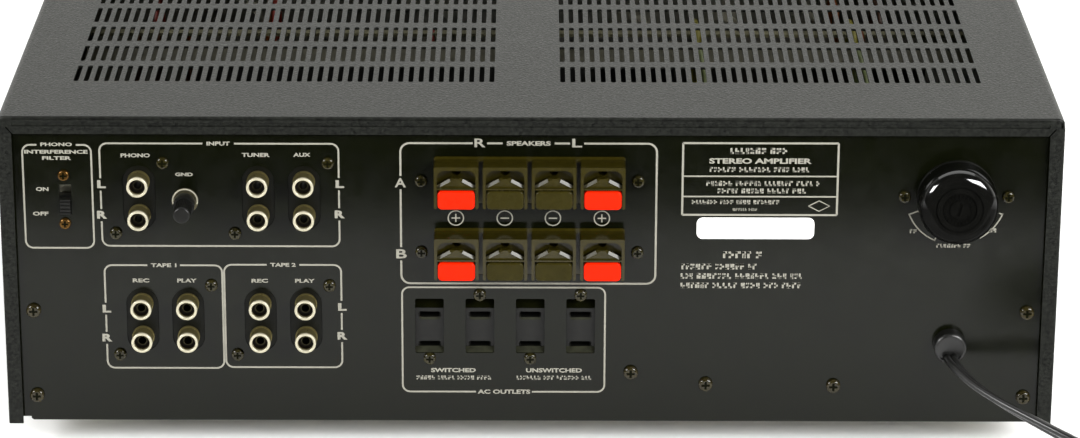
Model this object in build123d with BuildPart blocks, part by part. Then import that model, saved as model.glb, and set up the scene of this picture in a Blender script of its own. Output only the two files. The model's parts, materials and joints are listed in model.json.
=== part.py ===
"""Stereo integrated amplifier: a sheet-metal case with its rear sockets, front controls and insides."""

import os
from math import cos, pi, radians, sin, tan

from build123d import *

os.makedirs("parts", exist_ok=True)

# Driving dimensions, in millimetres. The front faces -Y and the sockets face +Y.
case_width = 420.0
case_height = 129.5  # from the datum level, just over the cover's bottom edge, to the cover's top
foot_height = 15.5  # from the table to the datum level
rear_edge = 170.0  # Y of the cover's rear edge
cover_front = -156.8
sheet = 1.0  # cover and rear panel
chassis_sheet = 1.2
flange = 6.2  # the cover's folded return around the rear panel
panel_face = rear_edge - 3.0  # Y of the rear panel's outer face
panel_back = panel_face - sheet
fascia_back = -157.0
fascia_front = -165.0
front_plate_back = -150.8
screw_r, screw_hole_r = 1.5, 1.65

# Rear layout: x runs to the right as seen from behind, y up from the datum level.
jack_pitch = 14.0
jack_columns = (-155.0, -136.8, -107.9, -89.7)
input_rows = (101.7, 101.7 - jack_pitch)
tape_rows = (50.0, 50.0 - jack_pitch)
ground_spot = (jack_columns[1], 93.8)
terminal_pitch = 19.25
terminal_columns = [-0.5 + terminal_pitch * k for k in (-1.5, -0.5, 0.5, 1.5)]
terminal_rows = {"a": 93.9, "b": 63.9}  # the bottom edge of each row of terminals
outlet_spots = [(-40.4 + 20.15 * k, 38.0) for k in range(4)]
selector_spot = (168.5, 95.4)
bushing_spot = (168.0, 33.5)
switch_spot = (-184.2, 94.1)

pieces = {}  # every finished sub-part by name


def behind(y):
    """A plane facing the rear: x runs right as seen from behind, y up from the datum level."""
    return Plane(origin=(0, y, foot_height), x_dir=(-1, 0, 0), z_dir=(0, 1, 0))


def before(y):
    """A plane facing the front: x runs along +X, y up from the datum level."""
    return Plane(origin=(0, y, foot_height), x_dir=(1, 0, 0), z_dir=(0, -1, 0))


def level(height):
    """A horizontal plane at a height over the datum level."""
    return Plane.XY.offset(foot_height + height)


def cross_recess(spots, size):
    """The two crossed slots of a screw drive at each spot of the sketch being drawn."""
    with Locations(*spots):
        Rectangle(size, 0.28 * size)
        Rectangle(0.28 * size, size)


def pan_screws(spots, plane, head_r=2.6, head=1.9, length=6.0, shaft_r=screw_r):
    """Pan-head screws whose heads stand on the plane and whose shafts go down behind it."""
    with BuildPart() as screws:
        with BuildSketch(plane):
            with Locations(*spots):
                Circle(head_r)
        extrude(amount=head)
        tops = screws.faces().filter_by(Plane(plane.origin, z_dir=plane.z_dir))
        tops = tops.sort_by(Axis(plane.origin, plane.z_dir))[-len(spots):]
        fillet(tops.edges(), 0.55 * head)
        with BuildSketch(plane.offset(head)):
            cross_recess(spots, 1.15 * head_r)
        extrude(amount=-0.6 * head, mode=Mode.SUBTRACT)
        with BuildSketch(plane):
            with Locations(*spots):
                Circle(shaft_r)
        extrude(amount=-length)
    return screws


# --- Case ---------------------------------------------------------------------------------------
# Cover: one bent sheet, open at the front and below, with a return flange around the rear.
cover_half = case_width / 2
cover_low = -0.8
bend_r = 3.0
slot_pitch, slots_across = 4.088, 42
slot_length, slot_width = 20.5, 2.0
slot_row_pitch, slot_rows = 27.0, 9
first_slot_inset = 45.5  # from the rear edge to the first row's near ends
slot_block_xs = (1.5 - 98.1, 1.5 + 98.1)  # each side's block of slots
slot_block_y = rear_edge - first_slot_inset - slot_length / 2 - slot_row_pitch * (slot_rows - 1) / 2
cover_screw_spots = [(y, 24.0) for y in (-118.0, 118.0)]

with BuildPart() as top_cover:
    with BuildSketch(behind(cover_front)):
        with BuildLine():
            FilletPolyline(
                (-cover_half, cover_low), (-cover_half, case_height),
                (cover_half, case_height), (cover_half, cover_low),
                radius=bend_r,
            )
            Line((cover_half, cover_low), (-cover_half, cover_low))
        make_face()
    extrude(amount=rear_edge - cover_front)
    rear_rim = top_cover.faces().sort_by(Axis.Y)[-1].edges()
    fillet(rear_rim.sort_by(Axis.Z)[1:], 0.9)
    with BuildSketch(behind(cover_front)):
        with BuildLine():
            FilletPolyline(
                (-cover_half + sheet, cover_low - 1), (-cover_half + sheet, case_height - sheet),
                (cover_half - sheet, case_height - sheet), (cover_half - sheet, cover_low - 1),
                radius=bend_r - sheet,
            )
            Line((cover_half - sheet, cover_low - 1), (-cover_half + sheet, cover_low - 1))
        make_face()
    extrude(amount=rear_edge - sheet - cover_front, mode=Mode.SUBTRACT)
    with BuildSketch(behind(rear_edge)):
        with Locations((0, (case_height - flange - sheet) / 2 - 1)):
            Rectangle(case_width - 2 * flange + 0.8, case_height - flange - sheet + 2)
    extrude(amount=-2 * sheet, mode=Mode.SUBTRACT)
    # Open mitres where the side returns meet the top one, each ending in a notch in the corner.
    with BuildSketch(behind(rear_edge)):
        for side in (-1, 1):
            with Locations((side * (cover_half - flange + 0.3), case_height - flange - 0.8)):
                Rectangle(7.0, 0.5, rotation=side * 50)
            with Locations((side * cover_half, case_height - 2.7)):
                Rectangle(3.4, 2.6)
    extrude(amount=-2.5, mode=Mode.SUBTRACT)
    # Two shallow grooves pressed along the top return.
    for low, high, depth in ((128.2, 128.9, 0.35), (125.5, 127.0, 0.5)):
        with BuildSketch(behind(rear_edge)):
            with Locations((0, (low + high) / 2)):
                Rectangle(case_width - 12, high - low)
        extrude(amount=-depth, mode=Mode.SUBTRACT)
    with BuildSketch(level(case_height)):
        for x in slot_block_xs:
            with Locations((x, slot_block_y)):
                with GridLocations(slot_pitch, slot_row_pitch, slots_across, slot_rows):
                    SlotOverall(slot_length, slot_width, rotation=90)
    extrude(amount=-2 * sheet, mode=Mode.SUBTRACT)
    with BuildSketch(Plane.YZ.offset(cover_half)):
        with Locations(*[(y, foot_height + h) for y, h in cover_screw_spots]):
            Circle(2.1)
    extrude(amount=-case_width, mode=Mode.SUBTRACT)
pieces["top_cover"] = top_cover

# Bottom plate: the flat pan, with vents under the transformer and holes for the feet.
plate_half = 207.0
plate_low = 0.5
foot_spots = [(x, y) for x in (-160.0, 160.0) for y in (-118.0, 108.0)]
with BuildPart() as bottom_plate:
    with BuildSketch(level(plate_low)):
        with Locations((0, (front_plate_back + 165.5) / 2)):
            RectangleRounded(2 * plate_half, 165.5 - front_plate_back, 3)
        with Locations(*foot_spots):
            Circle(2.2, mode=Mode.SUBTRACT)
        with Locations((-110, -60), (60, 0)):
            with GridLocations(9, 60, 9, 2):
                SlotOverall(40, 3, rotation=90, mode=Mode.SUBTRACT)
    extrude(amount=chassis_sheet)
pieces["bottom_plate"] = bottom_plate

# Feet: hollow-topped cups on the bottom plate, each with a screw up its middle.
foot_r, foot_drop = 17.0, foot_height + plate_low
with BuildPart() as feet:
    with BuildSketch():
        with Locations(*foot_spots):
            Circle(foot_r)
    extrude(amount=foot_drop, taper=-2)
    fillet(feet.edges().group_by(Axis.Z)[0], 1.5)
    with BuildSketch():
        with Locations(*foot_spots):
            Circle(5.2)
    extrude(amount=foot_drop - 4, mode=Mode.SUBTRACT)
    with BuildSketch():
        with Locations(*foot_spots):
            Circle(2.2)
    extrude(amount=foot_drop, mode=Mode.SUBTRACT)
pieces["feet"] = feet
pieces["foot_screws"] = pan_screws(
    [(-x, y) for x, y in foot_spots],
    Plane(origin=(0, 0, foot_drop - 4), x_dir=(-1, 0, 0), z_dir=(0, 0, -1)),
    head_r=3.6, head=2.6, length=9.0, shaft_r=1.9,
)

# Side rails: channels that carry the panels, the bottom plate and the cover.
rail_half, rail_top = 208.7, 60.0
corner_screw_rows = (10.5, 47.0)
corner_screw_x = 198.5
with BuildPart() as side_rails:
    for side in (-1, 1):
        web = side * (rail_half - chassis_sheet / 2)
        with BuildSketch(level(3.4)):
            with Locations((web, (panel_back + front_plate_back) / 2)):
                Rectangle(chassis_sheet, panel_back - front_plate_back - 0.1)
            for y in (panel_back - chassis_sheet / 2 - 0.05, front_plate_back + chassis_sheet / 2 + 0.05):
                with Locations((side * (rail_half - 9), y)):
                    Rectangle(18, chassis_sheet)
        extrude(amount=rail_top - 3.4)
    with BuildSketch(Plane.YZ.offset(-250)):
        with Locations(*[(y, foot_height + h) for y, h in cover_screw_spots]):
            Circle(screw_hole_r)
    extrude(amount=500, mode=Mode.SUBTRACT)
    with BuildSketch(behind(panel_back)):
        with Locations(*[(s * corner_screw_x, h) for s in (-1, 1) for h in corner_screw_rows]):
            Circle(screw_hole_r)
    extrude(amount=-2 * chassis_sheet, mode=Mode.SUBTRACT)
pieces["side_rails"] = side_rails

with BuildPart() as cover_screws:
    for side in (-1, 1):
        plane = Plane(origin=(side * cover_half, 0, foot_height), x_dir=(0, side, 0), z_dir=(side, 0, 0))
        spots = [(side * y, h) for y, h in cover_screw_spots]
        add(pan_screws(spots, plane, head_r=3.4, head=2.2, length=5.0).part)
pieces["cover_screws"] = cover_screws

# --- Rear panel ---------------------------------------------------------------------------------
panel_half, panel_low, panel_top = 206.8, -0.6, 126.5
lower_half, shoulder = 201.2, 1.2  # the panel is narrower under its shoulders
stadium_width, stadium_height = 12.8, 27.0
input_columns = (jack_columns[0], jack_columns[2], jack_columns[3])
stadium_spots = [(x, sum(input_rows) / 2) for x in input_columns]
stadium_spots += [(x, sum(tape_rows) / 2) for x in jack_columns]
jack_spots = [(x, y) for x in input_columns for y in input_rows]
jack_spots += [(x, y) for x in jack_columns for y in tape_rows]
pair_x = (jack_columns[2] + jack_columns[3]) / 2
tape_x = (jack_columns[0] + jack_columns[1]) / 2
jack_plates_at = [  # centre x, centre y and the screws' distance to each side
    (jack_columns[0], 94.7, 9.6),
    (pair_x, 94.7, 18.6),
    (tape_x, 43.0, 18.6),
    (pair_x, 43.0, 18.6),
]
jack_screw_rise = 14.8
jack_screw_spots = [
    (x + s * reach, y + s * jack_screw_rise) for x, y, reach in jack_plates_at for s in (-1, 1)
]
terminal_screw_x = 42.9
terminal_screw_spots = [
    (-0.5 + s * terminal_screw_x, low + 8.3) for low in terminal_rows.values() for s in (-1, 1)
]
outlet_screw_spots = [
    (x, 26.8 if k % 2 == 0 else 54.1) for k, (x, y) in enumerate(outlet_spots)
]
selector_screw_spots = [(selector_spot[0] + s * 20.5, 96.1) for s in (-1, 1)]
switch_screw_spots = [(-184.6, 104.2), (-184.6, 84.0)]
corner_spots = [(s * corner_screw_x, h) for s in (-1, 1) for h in corner_screw_rows]
bracket_spots = [(40.3, 20.8), (70.5, 15.9), (121.9, 15.3)]
socket_screw_spots = jack_screw_spots + terminal_screw_spots + outlet_screw_spots + selector_screw_spots
terminal_width, terminal_height = 17.6, 17.3
outlet_hole = (11.5, 23.3)
outlet_hole_y = 40.65
outlet_top = outlet_hole_y + outlet_hole[1] / 2 + 0.2
switch_slot = (4.7, 12.2)

with BuildPart() as rear_panel:
    with BuildSketch(behind(panel_back)):
        with Locations((0, (shoulder + panel_top) / 2)):
            Rectangle(2 * panel_half, panel_top - shoulder)
        with Locations((0, panel_low / 2 + shoulder)):
            Rectangle(2 * lower_half, 2 * shoulder - panel_low)
        with Locations(*stadium_spots):
            SlotOverall(stadium_height, stadium_width, rotation=90, mode=Mode.SUBTRACT)
        with Locations(ground_spot):
            Circle(2.3, mode=Mode.SUBTRACT)
        with Locations(switch_spot):
            Rectangle(*switch_slot, mode=Mode.SUBTRACT)
        for low in terminal_rows.values():
            with Locations((-0.5, low + terminal_height / 2)):
                width = 3 * terminal_pitch + terminal_width + 0.6
                RectangleRounded(width, terminal_height + 2.6, 1.2, mode=Mode.SUBTRACT)
        with Locations(*[(x, outlet_hole_y) for x, y in outlet_spots]):
            RectangleRounded(*outlet_hole, 0.8, mode=Mode.SUBTRACT)
        with Locations(selector_spot):
            Circle(14.6, mode=Mode.SUBTRACT)
        with Locations(bushing_spot):
            Circle(5.6, mode=Mode.SUBTRACT)
        with Locations(*socket_screw_spots, *switch_screw_spots, *corner_spots, *bracket_spots):
            Circle(screw_hole_r, mode=Mode.SUBTRACT)
    extrude(amount=sheet)
    # The bottom edge is folded forwards under the bottom plate.
    with BuildSketch(level(panel_low)):
        with Locations((0, panel_face - 7)):
            Rectangle(2 * panel_half - 20, 14)
    extrude(amount=sheet)
    fold = rear_panel.edges().filter_by(Axis.X).filter_by_position(Axis.Y, panel_face - 0.01, panel_face + 0.01)
    fillet(fold.sort_by(Axis.Z)[0], 0.8)
    with BuildSketch(behind(panel_face)):
        for side in (-1, 1):
            with Locations((side * lower_half, panel_low)):
                Rectangle(1.5, 1.5, rotation=45)
    extrude(amount=-sheet, mode=Mode.SUBTRACT)
pieces["rear_panel"] = rear_panel
pieces["panel_screws"] = pan_screws(corner_spots + bracket_spots, behind(panel_face), head_r=2.9, head=2.0)
pieces["socket_screws"] = pan_screws(socket_screw_spots, behind(panel_face), head_r=2.5, head=1.7)
pieces["switch_screws"] = pan_screws(switch_screw_spots, behind(panel_face), head_r=2.3, head=1.4, length=4.5)

# --- Phono jacks --------------------------------------------------------------------------------
jack_r, jack_wall, jack_reach = 4.2, 1.1, 8.0
jack_back = panel_back - 6.0
plate_thick = 1.6
boss_face = panel_face - 0.3
boss_gap = 0.15
with BuildPart() as jack_plates:
    with BuildSketch(behind(panel_back - plate_thick)):
        for x, y, reach in jack_plates_at:
            with Locations((x, y)):
                RectangleRounded(2 * reach + 9, 2 * jack_screw_rise + 9, 3)
    extrude(amount=plate_thick)
    with BuildSketch(behind(panel_back)):
        with Locations(*stadium_spots):
            SlotOverall(stadium_height - 2 * boss_gap, stadium_width - 2 * boss_gap, rotation=90)
    extrude(amount=boss_face - panel_back)
    with BuildSketch(behind(panel_back - plate_thick)):
        with Locations(*jack_spots):
            Circle(jack_r - 0.35)
        with Locations(*jack_screw_spots):
            Circle(screw_hole_r)
    extrude(amount=6, mode=Mode.SUBTRACT)
pieces["jack_plates"] = jack_plates

with BuildPart() as jack_shells:
    with BuildSketch(behind(jack_back)):
        with Locations(*jack_spots):
            Circle(jack_r - 0.4)
    extrude(amount=boss_face - jack_back)
    with BuildSketch(behind(boss_face)):
        with Locations(*jack_spots):
            Circle(jack_r)
    extrude(amount=panel_face + jack_reach - boss_face)
    with BuildSketch(behind(boss_face)):
        with Locations(*jack_spots):
            Circle(jack_r + 0.2)
    extrude(amount=1.2)
    with BuildSketch(behind(jack_back)):
        with Locations(*jack_spots):
            Circle(jack_r - jack_wall)
    extrude(amount=panel_face + jack_reach - jack_back, mode=Mode.SUBTRACT)
    fillet(jack_shells.edges().group_by(Axis.Y)[-1], 0.45)
pieces["jack_shells"] = jack_shells

insulator_face = panel_face + jack_reach - 2.2
with BuildPart() as jack_insulators:
    with BuildSketch(behind(jack_back)):
        with Locations(*jack_spots):
            Circle(jack_r - jack_wall - 0.02)
            Circle(1.95, mode=Mode.SUBTRACT)
    extrude(amount=insulator_face - jack_back)
    with BuildSketch(behind(insulator_face)):
        with Locations(*jack_spots):
            Circle(2.75)
    extrude(amount=-0.8, mode=Mode.SUBTRACT)
pieces["jack_insulators"] = jack_insulators

with BuildPart() as jack_contacts:
    with BuildSketch(behind(jack_back - 5)):
        with Locations(*jack_spots):
            Circle(1.93)
            Circle(1.6, mode=Mode.SUBTRACT)
    extrude(amount=insulator_face - 0.9 - jack_back + 5)
pieces["jack_contacts"] = jack_contacts

# --- Ground post --------------------------------------------------------------------------------
with BuildPart() as ground_post:
    with BuildSketch(behind(panel_back - 8)):
        with Locations(ground_spot):
            Circle(1.95)
    extrude(amount=panel_face + 14 - panel_back + 8)
    with BuildSketch(behind(panel_face)):
        with Locations(ground_spot):
            Circle(5.2)
    extrude(amount=0.9)
    with BuildSketch(behind(panel_face)):
        with Locations(ground_spot):
            RegularPolygon(3.5, 6)
    extrude(amount=2.6)
    with BuildSketch(behind(panel_back)):
        with Locations(ground_spot):
            RegularPolygon(3.9, 6)
    extrude(amount=-2.4)
pieces["ground_post"] = ground_post

knob_low, knob_high, knob_base = panel_face + 3.4, panel_face + 18.5, 4.4
with BuildPart() as ground_knob:
    with BuildSketch(behind(knob_low)):
        with Locations(ground_spot):
            Circle(3.4)
    extrude(amount=knob_high - knob_low)
    fillet(ground_knob.edges().group_by(Axis.Y)[-1], 0.9)
    with BuildSketch(behind(knob_low + knob_base)):
        with Locations(ground_spot):
            with PolarLocations(3.5, 16):
                Circle(0.28)
    extrude(amount=knob_high - knob_low - knob_base - 1.6, mode=Mode.SUBTRACT)
    with BuildSketch(behind(knob_low)):
        with Locations(ground_spot):
            Circle(4.2)
    extrude(amount=knob_base)
    with BuildSketch(behind(knob_low)):
        with Locations(ground_spot):
            Circle(2.0)
    extrude(amount=12, mode=Mode.SUBTRACT)
pieces["ground_knob"] = ground_knob

# --- Filter switch ------------------------------------------------------------------------------
slider_travel = 5.6
with BuildPart() as filter_switch:
    with BuildSketch(behind(panel_back)):
        with Locations(switch_spot):
            RectangleRounded(8, 27, 1)
        with Locations(*switch_screw_spots):
            Circle(screw_hole_r, mode=Mode.SUBTRACT)
    extrude(amount=-1.0)
    with BuildSketch(behind(panel_back - 1)):
        with Locations(switch_spot):
            Rectangle(8, 16)
    extrude(amount=-9)
    with BuildSketch(behind(panel_back)):
        with Locations(switch_spot):
            Rectangle(5.2, 13.6)
    extrude(amount=-5, mode=Mode.SUBTRACT)
    with BuildSketch(behind(panel_back - 10)):
        with Locations(switch_spot):
            with GridLocations(4, 4, 2, 3):
                Circle(0.5)
    extrude(amount=-3.5)
pieces["filter_switch"] = filter_switch

slider_y = switch_spot[1] - slider_travel / 2
with BuildPart() as filter_slider:
    with BuildSketch(behind(panel_back - 4.8)):
        with Locations((switch_spot[0], slider_y)):
            Rectangle(4.9, 7.6)
    extrude(amount=3.4)
    with BuildSketch(behind(panel_back - 1.4)):
        with Locations((switch_spot[0], slider_y)):
            Rectangle(4.1, 6.2)
    extrude(amount=4.2)
    ridge_face = panel_back + 2.8
    with BuildSketch(behind(ridge_face)):
        with Locations((switch_spot[0], slider_y)):
            with GridLocations(1, 1.5, 1, 4):
                Rectangle(4.1, 0.6)
    extrude(amount=-0.5, mode=Mode.SUBTRACT)
pieces["filter_slider"] = filter_slider

# --- Speaker terminals --------------------------------------------------------------------------
terminal_reach = 10.0
tab_width, tab_height, tab_travel = 14.7, 7.7, 4.0
tab_face = panel_face + terminal_reach + 0.8
terminal_back = panel_back - 2.2
pocket_low, pocket_high, pocket_depth = 8.9, 15.9, 5.2


def terminal_block(low):
    """A moulded block of four spring terminals, each with a wire pocket over an opening for its tab."""
    centres = [(x, low) for x in terminal_columns]
    with BuildPart() as block:
        with BuildSketch(behind(terminal_back)):
            with Locations((-0.5, low + 8.3)):
                RectangleRounded(2 * terminal_screw_x + 10, 22, 3)
            with Locations(*[(-0.5 + s * terminal_screw_x, low + 8.3) for s in (-1, 1)]):
                Circle(screw_hole_r, mode=Mode.SUBTRACT)
        extrude(amount=panel_back - terminal_back)
        with BuildSketch(behind(panel_back)):
            with Locations((-0.5, low + terminal_height / 2)):
                width = 3 * terminal_pitch + terminal_width + 0.2
                RectangleRounded(width, terminal_height + 2.2, 1.0)
        extrude(amount=sheet)
        with BuildSketch(behind(panel_face)):
            with Locations(*[(x, low + terminal_height / 2) for x, low in centres]):
                RectangleRounded(terminal_width, terminal_height, 0.7)
        extrude(amount=terminal_reach)
        with BuildSketch(behind(panel_face + 0.6)):
            with Locations(*[(x, low + tab_height / 2 - 1) for x, low in centres]):
                Rectangle(tab_width + 0.5, tab_height + 2.4)
        extrude(amount=terminal_reach, mode=Mode.SUBTRACT)
        with BuildSketch(behind(terminal_back)):
            with Locations(*[(x, low + tab_height / 2 - 0.1) for x, low in centres]):
                Rectangle(10.4, 5.4)
        extrude(amount=6, mode=Mode.SUBTRACT)
        # The wire pocket, round at its top corners, over a roof that leads the wire to its hole.
        with BuildSketch(behind(panel_face + terminal_reach - pocket_depth)):
            for x, base in centres:
                with BuildLine():
                    FilletPolyline(
                        (x - 7.6, base + pocket_low), (x - 7.6, base + pocket_high),
                        (x + 7.6, base + pocket_high), (x + 7.6, base + pocket_low),
                        radius=3.2,
                    )
                    Polyline(
                        (x + 7.6, base + pocket_low), (x + 2.0, base + 12.2),
                        (x - 2.0, base + 12.2), (x - 7.6, base + pocket_low),
                    )
                make_face()
        extrude(amount=pocket_depth, mode=Mode.SUBTRACT)
        with BuildSketch(behind(panel_face + terminal_reach - 1.2)):
            with Locations(*[(x, base + 10.4) for x, base in centres]):
                Rectangle(15.2, 3.8)
        extrude(amount=1.2, mode=Mode.SUBTRACT)
        roof_face = panel_face + terminal_reach - 1.2
        roof = block.edges().filter_by_position(Axis.Y, roof_face - 0.01, roof_face + 0.01)
        chamfer(roof.filter_by(lambda edge: 0.8 < abs((edge % 0.5).X) < 0.9), 0.8)
        with BuildSketch(behind(panel_back - 0.5)):
            with Locations(*[(x, base + 13.9) for x, base in centres]):
                Circle(1.7)
        extrude(amount=terminal_reach, mode=Mode.SUBTRACT)
        with BuildSketch(behind(terminal_back)):
            with Locations(*[(x, base + 13.9) for x, base in centres]):
                Rectangle(3.1, 0.9)
        extrude(amount=4, mode=Mode.SUBTRACT)
    return block


def speaker_tab(x, low):
    """A push tab: a rounded key on a flat stem that runs back through the block."""
    centre = (x, low + tab_height / 2 - 0.1)
    with BuildPart() as tab:
        with BuildSketch(behind(tab_face)):
            with Locations(centre):
                RectangleRounded(tab_width, tab_height, 1.8)
        extrude(amount=-5.4)
        fillet(tab.faces().sort_by(Axis.Y)[-1].edges(), 0.7)
        with BuildSketch(behind(tab_face - 5.4)):
            with Locations(centre):
                Rectangle(10, 5)
        extrude(amount=-10)
    return tab


for row, low in terminal_rows.items():
    pieces[f"speaker_terminals_{row}"] = terminal_block(low)
    for k, x in enumerate(terminal_columns, 1):
        pieces[f"speaker_tab_{row}{k}"] = speaker_tab(x, low)

with BuildPart() as terminal_contacts:
    for low in terminal_rows.values():
        with BuildSketch(behind(terminal_back - 9)):
            with Locations(*[(x, low + 13.9) for x in terminal_columns]):
                Rectangle(2.9, 0.7)
        extrude(amount=12.4)
pieces["terminal_contacts"] = terminal_contacts

# --- Mains outlets ------------------------------------------------------------------------------
blade_spacing = 12.7
blade_slot = (8.0, 2.0)
outlet_slots = [(x, 37.95 + s * blade_spacing / 2) for x, y in outlet_spots for s in (-1, 1)]
outlet_face = panel_face - 3.0
with BuildPart() as ac_outlets:
    with BuildSketch(behind(outlet_face - 2.6)):
        with Locations(*[(x, outlet_hole_y) for x, y in outlet_spots]):
            RectangleRounded(16, 37, 2)
    extrude(amount=panel_back - outlet_face + 2.6)
    with BuildSketch(behind(outlet_face - 2.6)):
        with Locations(*[(x, 38.5) for x, y in outlet_spots]):
            RectangleRounded(14, 27, 1.5)
    extrude(amount=-14)
    with BuildSketch(behind(outlet_face)):
        with Locations(*[(x, outlet_hole_y) for x, y in outlet_spots]):
            RectangleRounded(outlet_hole[0] + 0.4, outlet_hole[1] + 0.4, 0.8)
    extrude(amount=5, mode=Mode.SUBTRACT)
    with BuildSketch(behind(outlet_face)):
        with Locations(*outlet_slots):
            RectangleRounded(*blade_slot, 0.5)
    extrude(amount=-13, mode=Mode.SUBTRACT)
    with BuildSketch(behind(outlet_face)):
        with Locations(*outlet_slots):
            RectangleRounded(blade_slot[0] + 1, blade_slot[1] + 1, 0.9)
    extrude(amount=-0.5, taper=45, mode=Mode.SUBTRACT)
    # The top of each face slopes back into the body.
    for x, y in outlet_spots:
        with BuildSketch(Plane.YZ.offset(-x)):
            with BuildLine():
                Polyline(
                    (outlet_face, foot_height + outlet_top - 4.6), (outlet_face, foot_height + outlet_top),
                    (outlet_face - 2.2, foot_height + outlet_top), close=True,
                )
            make_face()
        extrude(amount=outlet_hole[0] / 2 + 0.2, both=True, mode=Mode.SUBTRACT)
    with BuildSketch(behind(panel_back)):
        with Locations(*outlet_screw_spots):
            Circle(screw_hole_r)
    extrude(amount=-8, mode=Mode.SUBTRACT)
pieces["ac_outlets"] = ac_outlets

with BuildPart() as outlet_contacts:
    with BuildSketch(behind(outlet_face - 12.9)):
        with Locations(*[(x, y + 0.6) for x, y in outlet_slots]):
            Rectangle(6.6, 0.5)
    extrude(amount=9)
pieces["outlet_contacts"] = outlet_contacts

# --- Voltage selector ---------------------------------------------------------------------------
with BuildPart() as voltage_selector:
    with BuildSketch(behind(panel_face)):
        with Locations(selector_spot):
            Circle(15.9)
    extrude(amount=1.6)
    fillet(voltage_selector.edges().group_by(Axis.Y)[-1], 0.6)
    with BuildSketch(behind(panel_face)):
        with Locations(selector_spot):
            Circle(14.4)
    extrude(amount=-20)
    with BuildSketch(behind(panel_back)):
        with Locations(selector_spot):
            SlotOverall(52, 12)
        with Locations(*selector_screw_spots):
            Circle(screw_hole_r, mode=Mode.SUBTRACT)
    extrude(amount=-2)
    with BuildSketch(behind(panel_face + 1.6)):
        with Locations(selector_spot):
            Circle(4.1)
    extrude(amount=-14, mode=Mode.SUBTRACT)
pieces["voltage_selector"] = voltage_selector

cap_r, cap_reach = 15.8, 14.0
with BuildPart() as voltage_cap:
    with BuildSketch(behind(panel_face + 1.75)):
        with Locations(selector_spot):
            Circle(cap_r)
    extrude(amount=cap_reach - 1.75)
    fillet(voltage_cap.edges().group_by(Axis.Y)[-1], 5.2)
    # A shallow dish with radial ribs round a coin slot.
    with BuildSketch(behind(panel_face + cap_reach)):
        with Locations(selector_spot):
            Circle(6.8)
            with PolarLocations(5.6, 24):
                Rectangle(1.4, 0.45, mode=Mode.SUBTRACT)
            Circle(3.8, mode=Mode.SUBTRACT)
            Rectangle(5.2, 1.2, rotation=75)
    extrude(amount=-0.6, mode=Mode.SUBTRACT)
    with BuildSketch(behind(panel_face + cap_reach)):
        with Locations(selector_spot):
            Circle(9.4)
            Circle(8.9, mode=Mode.SUBTRACT)
    extrude(amount=-0.4, mode=Mode.SUBTRACT)
    with BuildSketch(behind(panel_face + 1.75)):
        with Locations(selector_spot):
            Circle(4.0)
    extrude(amount=-12)
pieces["voltage_cap"] = voltage_cap

# --- Mains cord ---------------------------------------------------------------------------------
cord_d = 6.0
bushing_reach = 6.0
exit_drop = 3.5  # the lead leaves the bushing under its middle
with BuildPart() as cord_bushing:
    with BuildSketch(behind(panel_face)):
        with Locations(bushing_spot):
            Circle(6.5)
    extrude(amount=bushing_reach)
    fillet(cord_bushing.edges().group_by(Axis.Y)[-1], 1.4)
    with BuildSketch(behind(panel_face + bushing_reach)):
        with Locations((bushing_spot[0], bushing_spot[1] - exit_drop + 0.6)):
            SlotOverall(8.6, 3.6)
    extrude(amount=-1.0, mode=Mode.SUBTRACT)
    with BuildSketch(behind(panel_face)):
        with Locations(bushing_spot):
            Circle(5.5)
    extrude(amount=-3)
    with BuildSketch(behind(panel_face - 3)):
        with Locations(bushing_spot):
            Circle(6.3)
    extrude(amount=-14, taper=6)
pieces["cord_bushing"] = cord_bushing

cord_exit_y = panel_face + bushing_reach
coil_centre = (-285.0, 300.0)
join_angle = 243.0  # where on the coil the lead joins its outermost turn
coil_in, coil_out = 28.6, 42.0
coil_low, coil_high = 0.9, 13.1
coil_mid_r = 40.0  # the outermost turn's centreline, where the lead joins
lead_z = 3.9
cord_route = [
    (-167.8, cord_exit_y, 45.6),
    (-168.1, 177.4, 45.3),
    (-174.0, 185.6, 40.8),
    (-183.1, 195.2, 36.9),
    (-196.1, 205.9, 33.0),
    (-210.4, 217.2, 28.8),
    (-233.6, 229.0, 20.5),
    (-256.8, 240.8, 12.0),
    (-280.0, 252.6, 6.0),
    (
        coil_centre[0] + coil_mid_r * cos(radians(join_angle)),
        coil_centre[1] + coil_mid_r * sin(radians(join_angle)),
        lead_z,
    ),
]
corner_radii = []
for before_it, corner, after_it in zip(cord_route, cord_route[1:], cord_route[2:]):
    run_in, run_out = Vector(*corner) - Vector(*before_it), Vector(*after_it) - Vector(*corner)
    half_turn = radians(run_in.get_angle(run_out)) / 2
    corner_radii.append(0.45 * min(run_in.length, run_out.length) / tan(half_turn))
print("cord radii", [round(r, 1) for r in corner_radii])

with BuildPart() as mains_cord:
    with BuildLine():
        lead_line = FilletPolyline(*cord_route, radius=corner_radii)
    with BuildSketch(Plane(lead_line @ 0, z_dir=lead_line % 0)):
        Circle(cord_d / 2)
    sweep(path=lead_line)
tube_volume = pi * cord_d**2 / 4 * lead_line.length
print("cord tube", round(lead_line.length, 1), "mm, volume ratio", round(mains_cord.part.volume / tube_volume, 4))
pieces["mains_cord"] = mains_cord

with BuildPart() as mains_cord_coil:
    with BuildSketch(Plane.XY.offset(coil_low)):
        with Locations(coil_centre):
            Circle(coil_out)
            Circle(coil_in, mode=Mode.SUBTRACT)
    extrude(amount=coil_high - coil_low)
    fillet(mains_cord_coil.edges(), 2.2)
pieces["mains_cord_coil"] = mains_cord_coil

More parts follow.
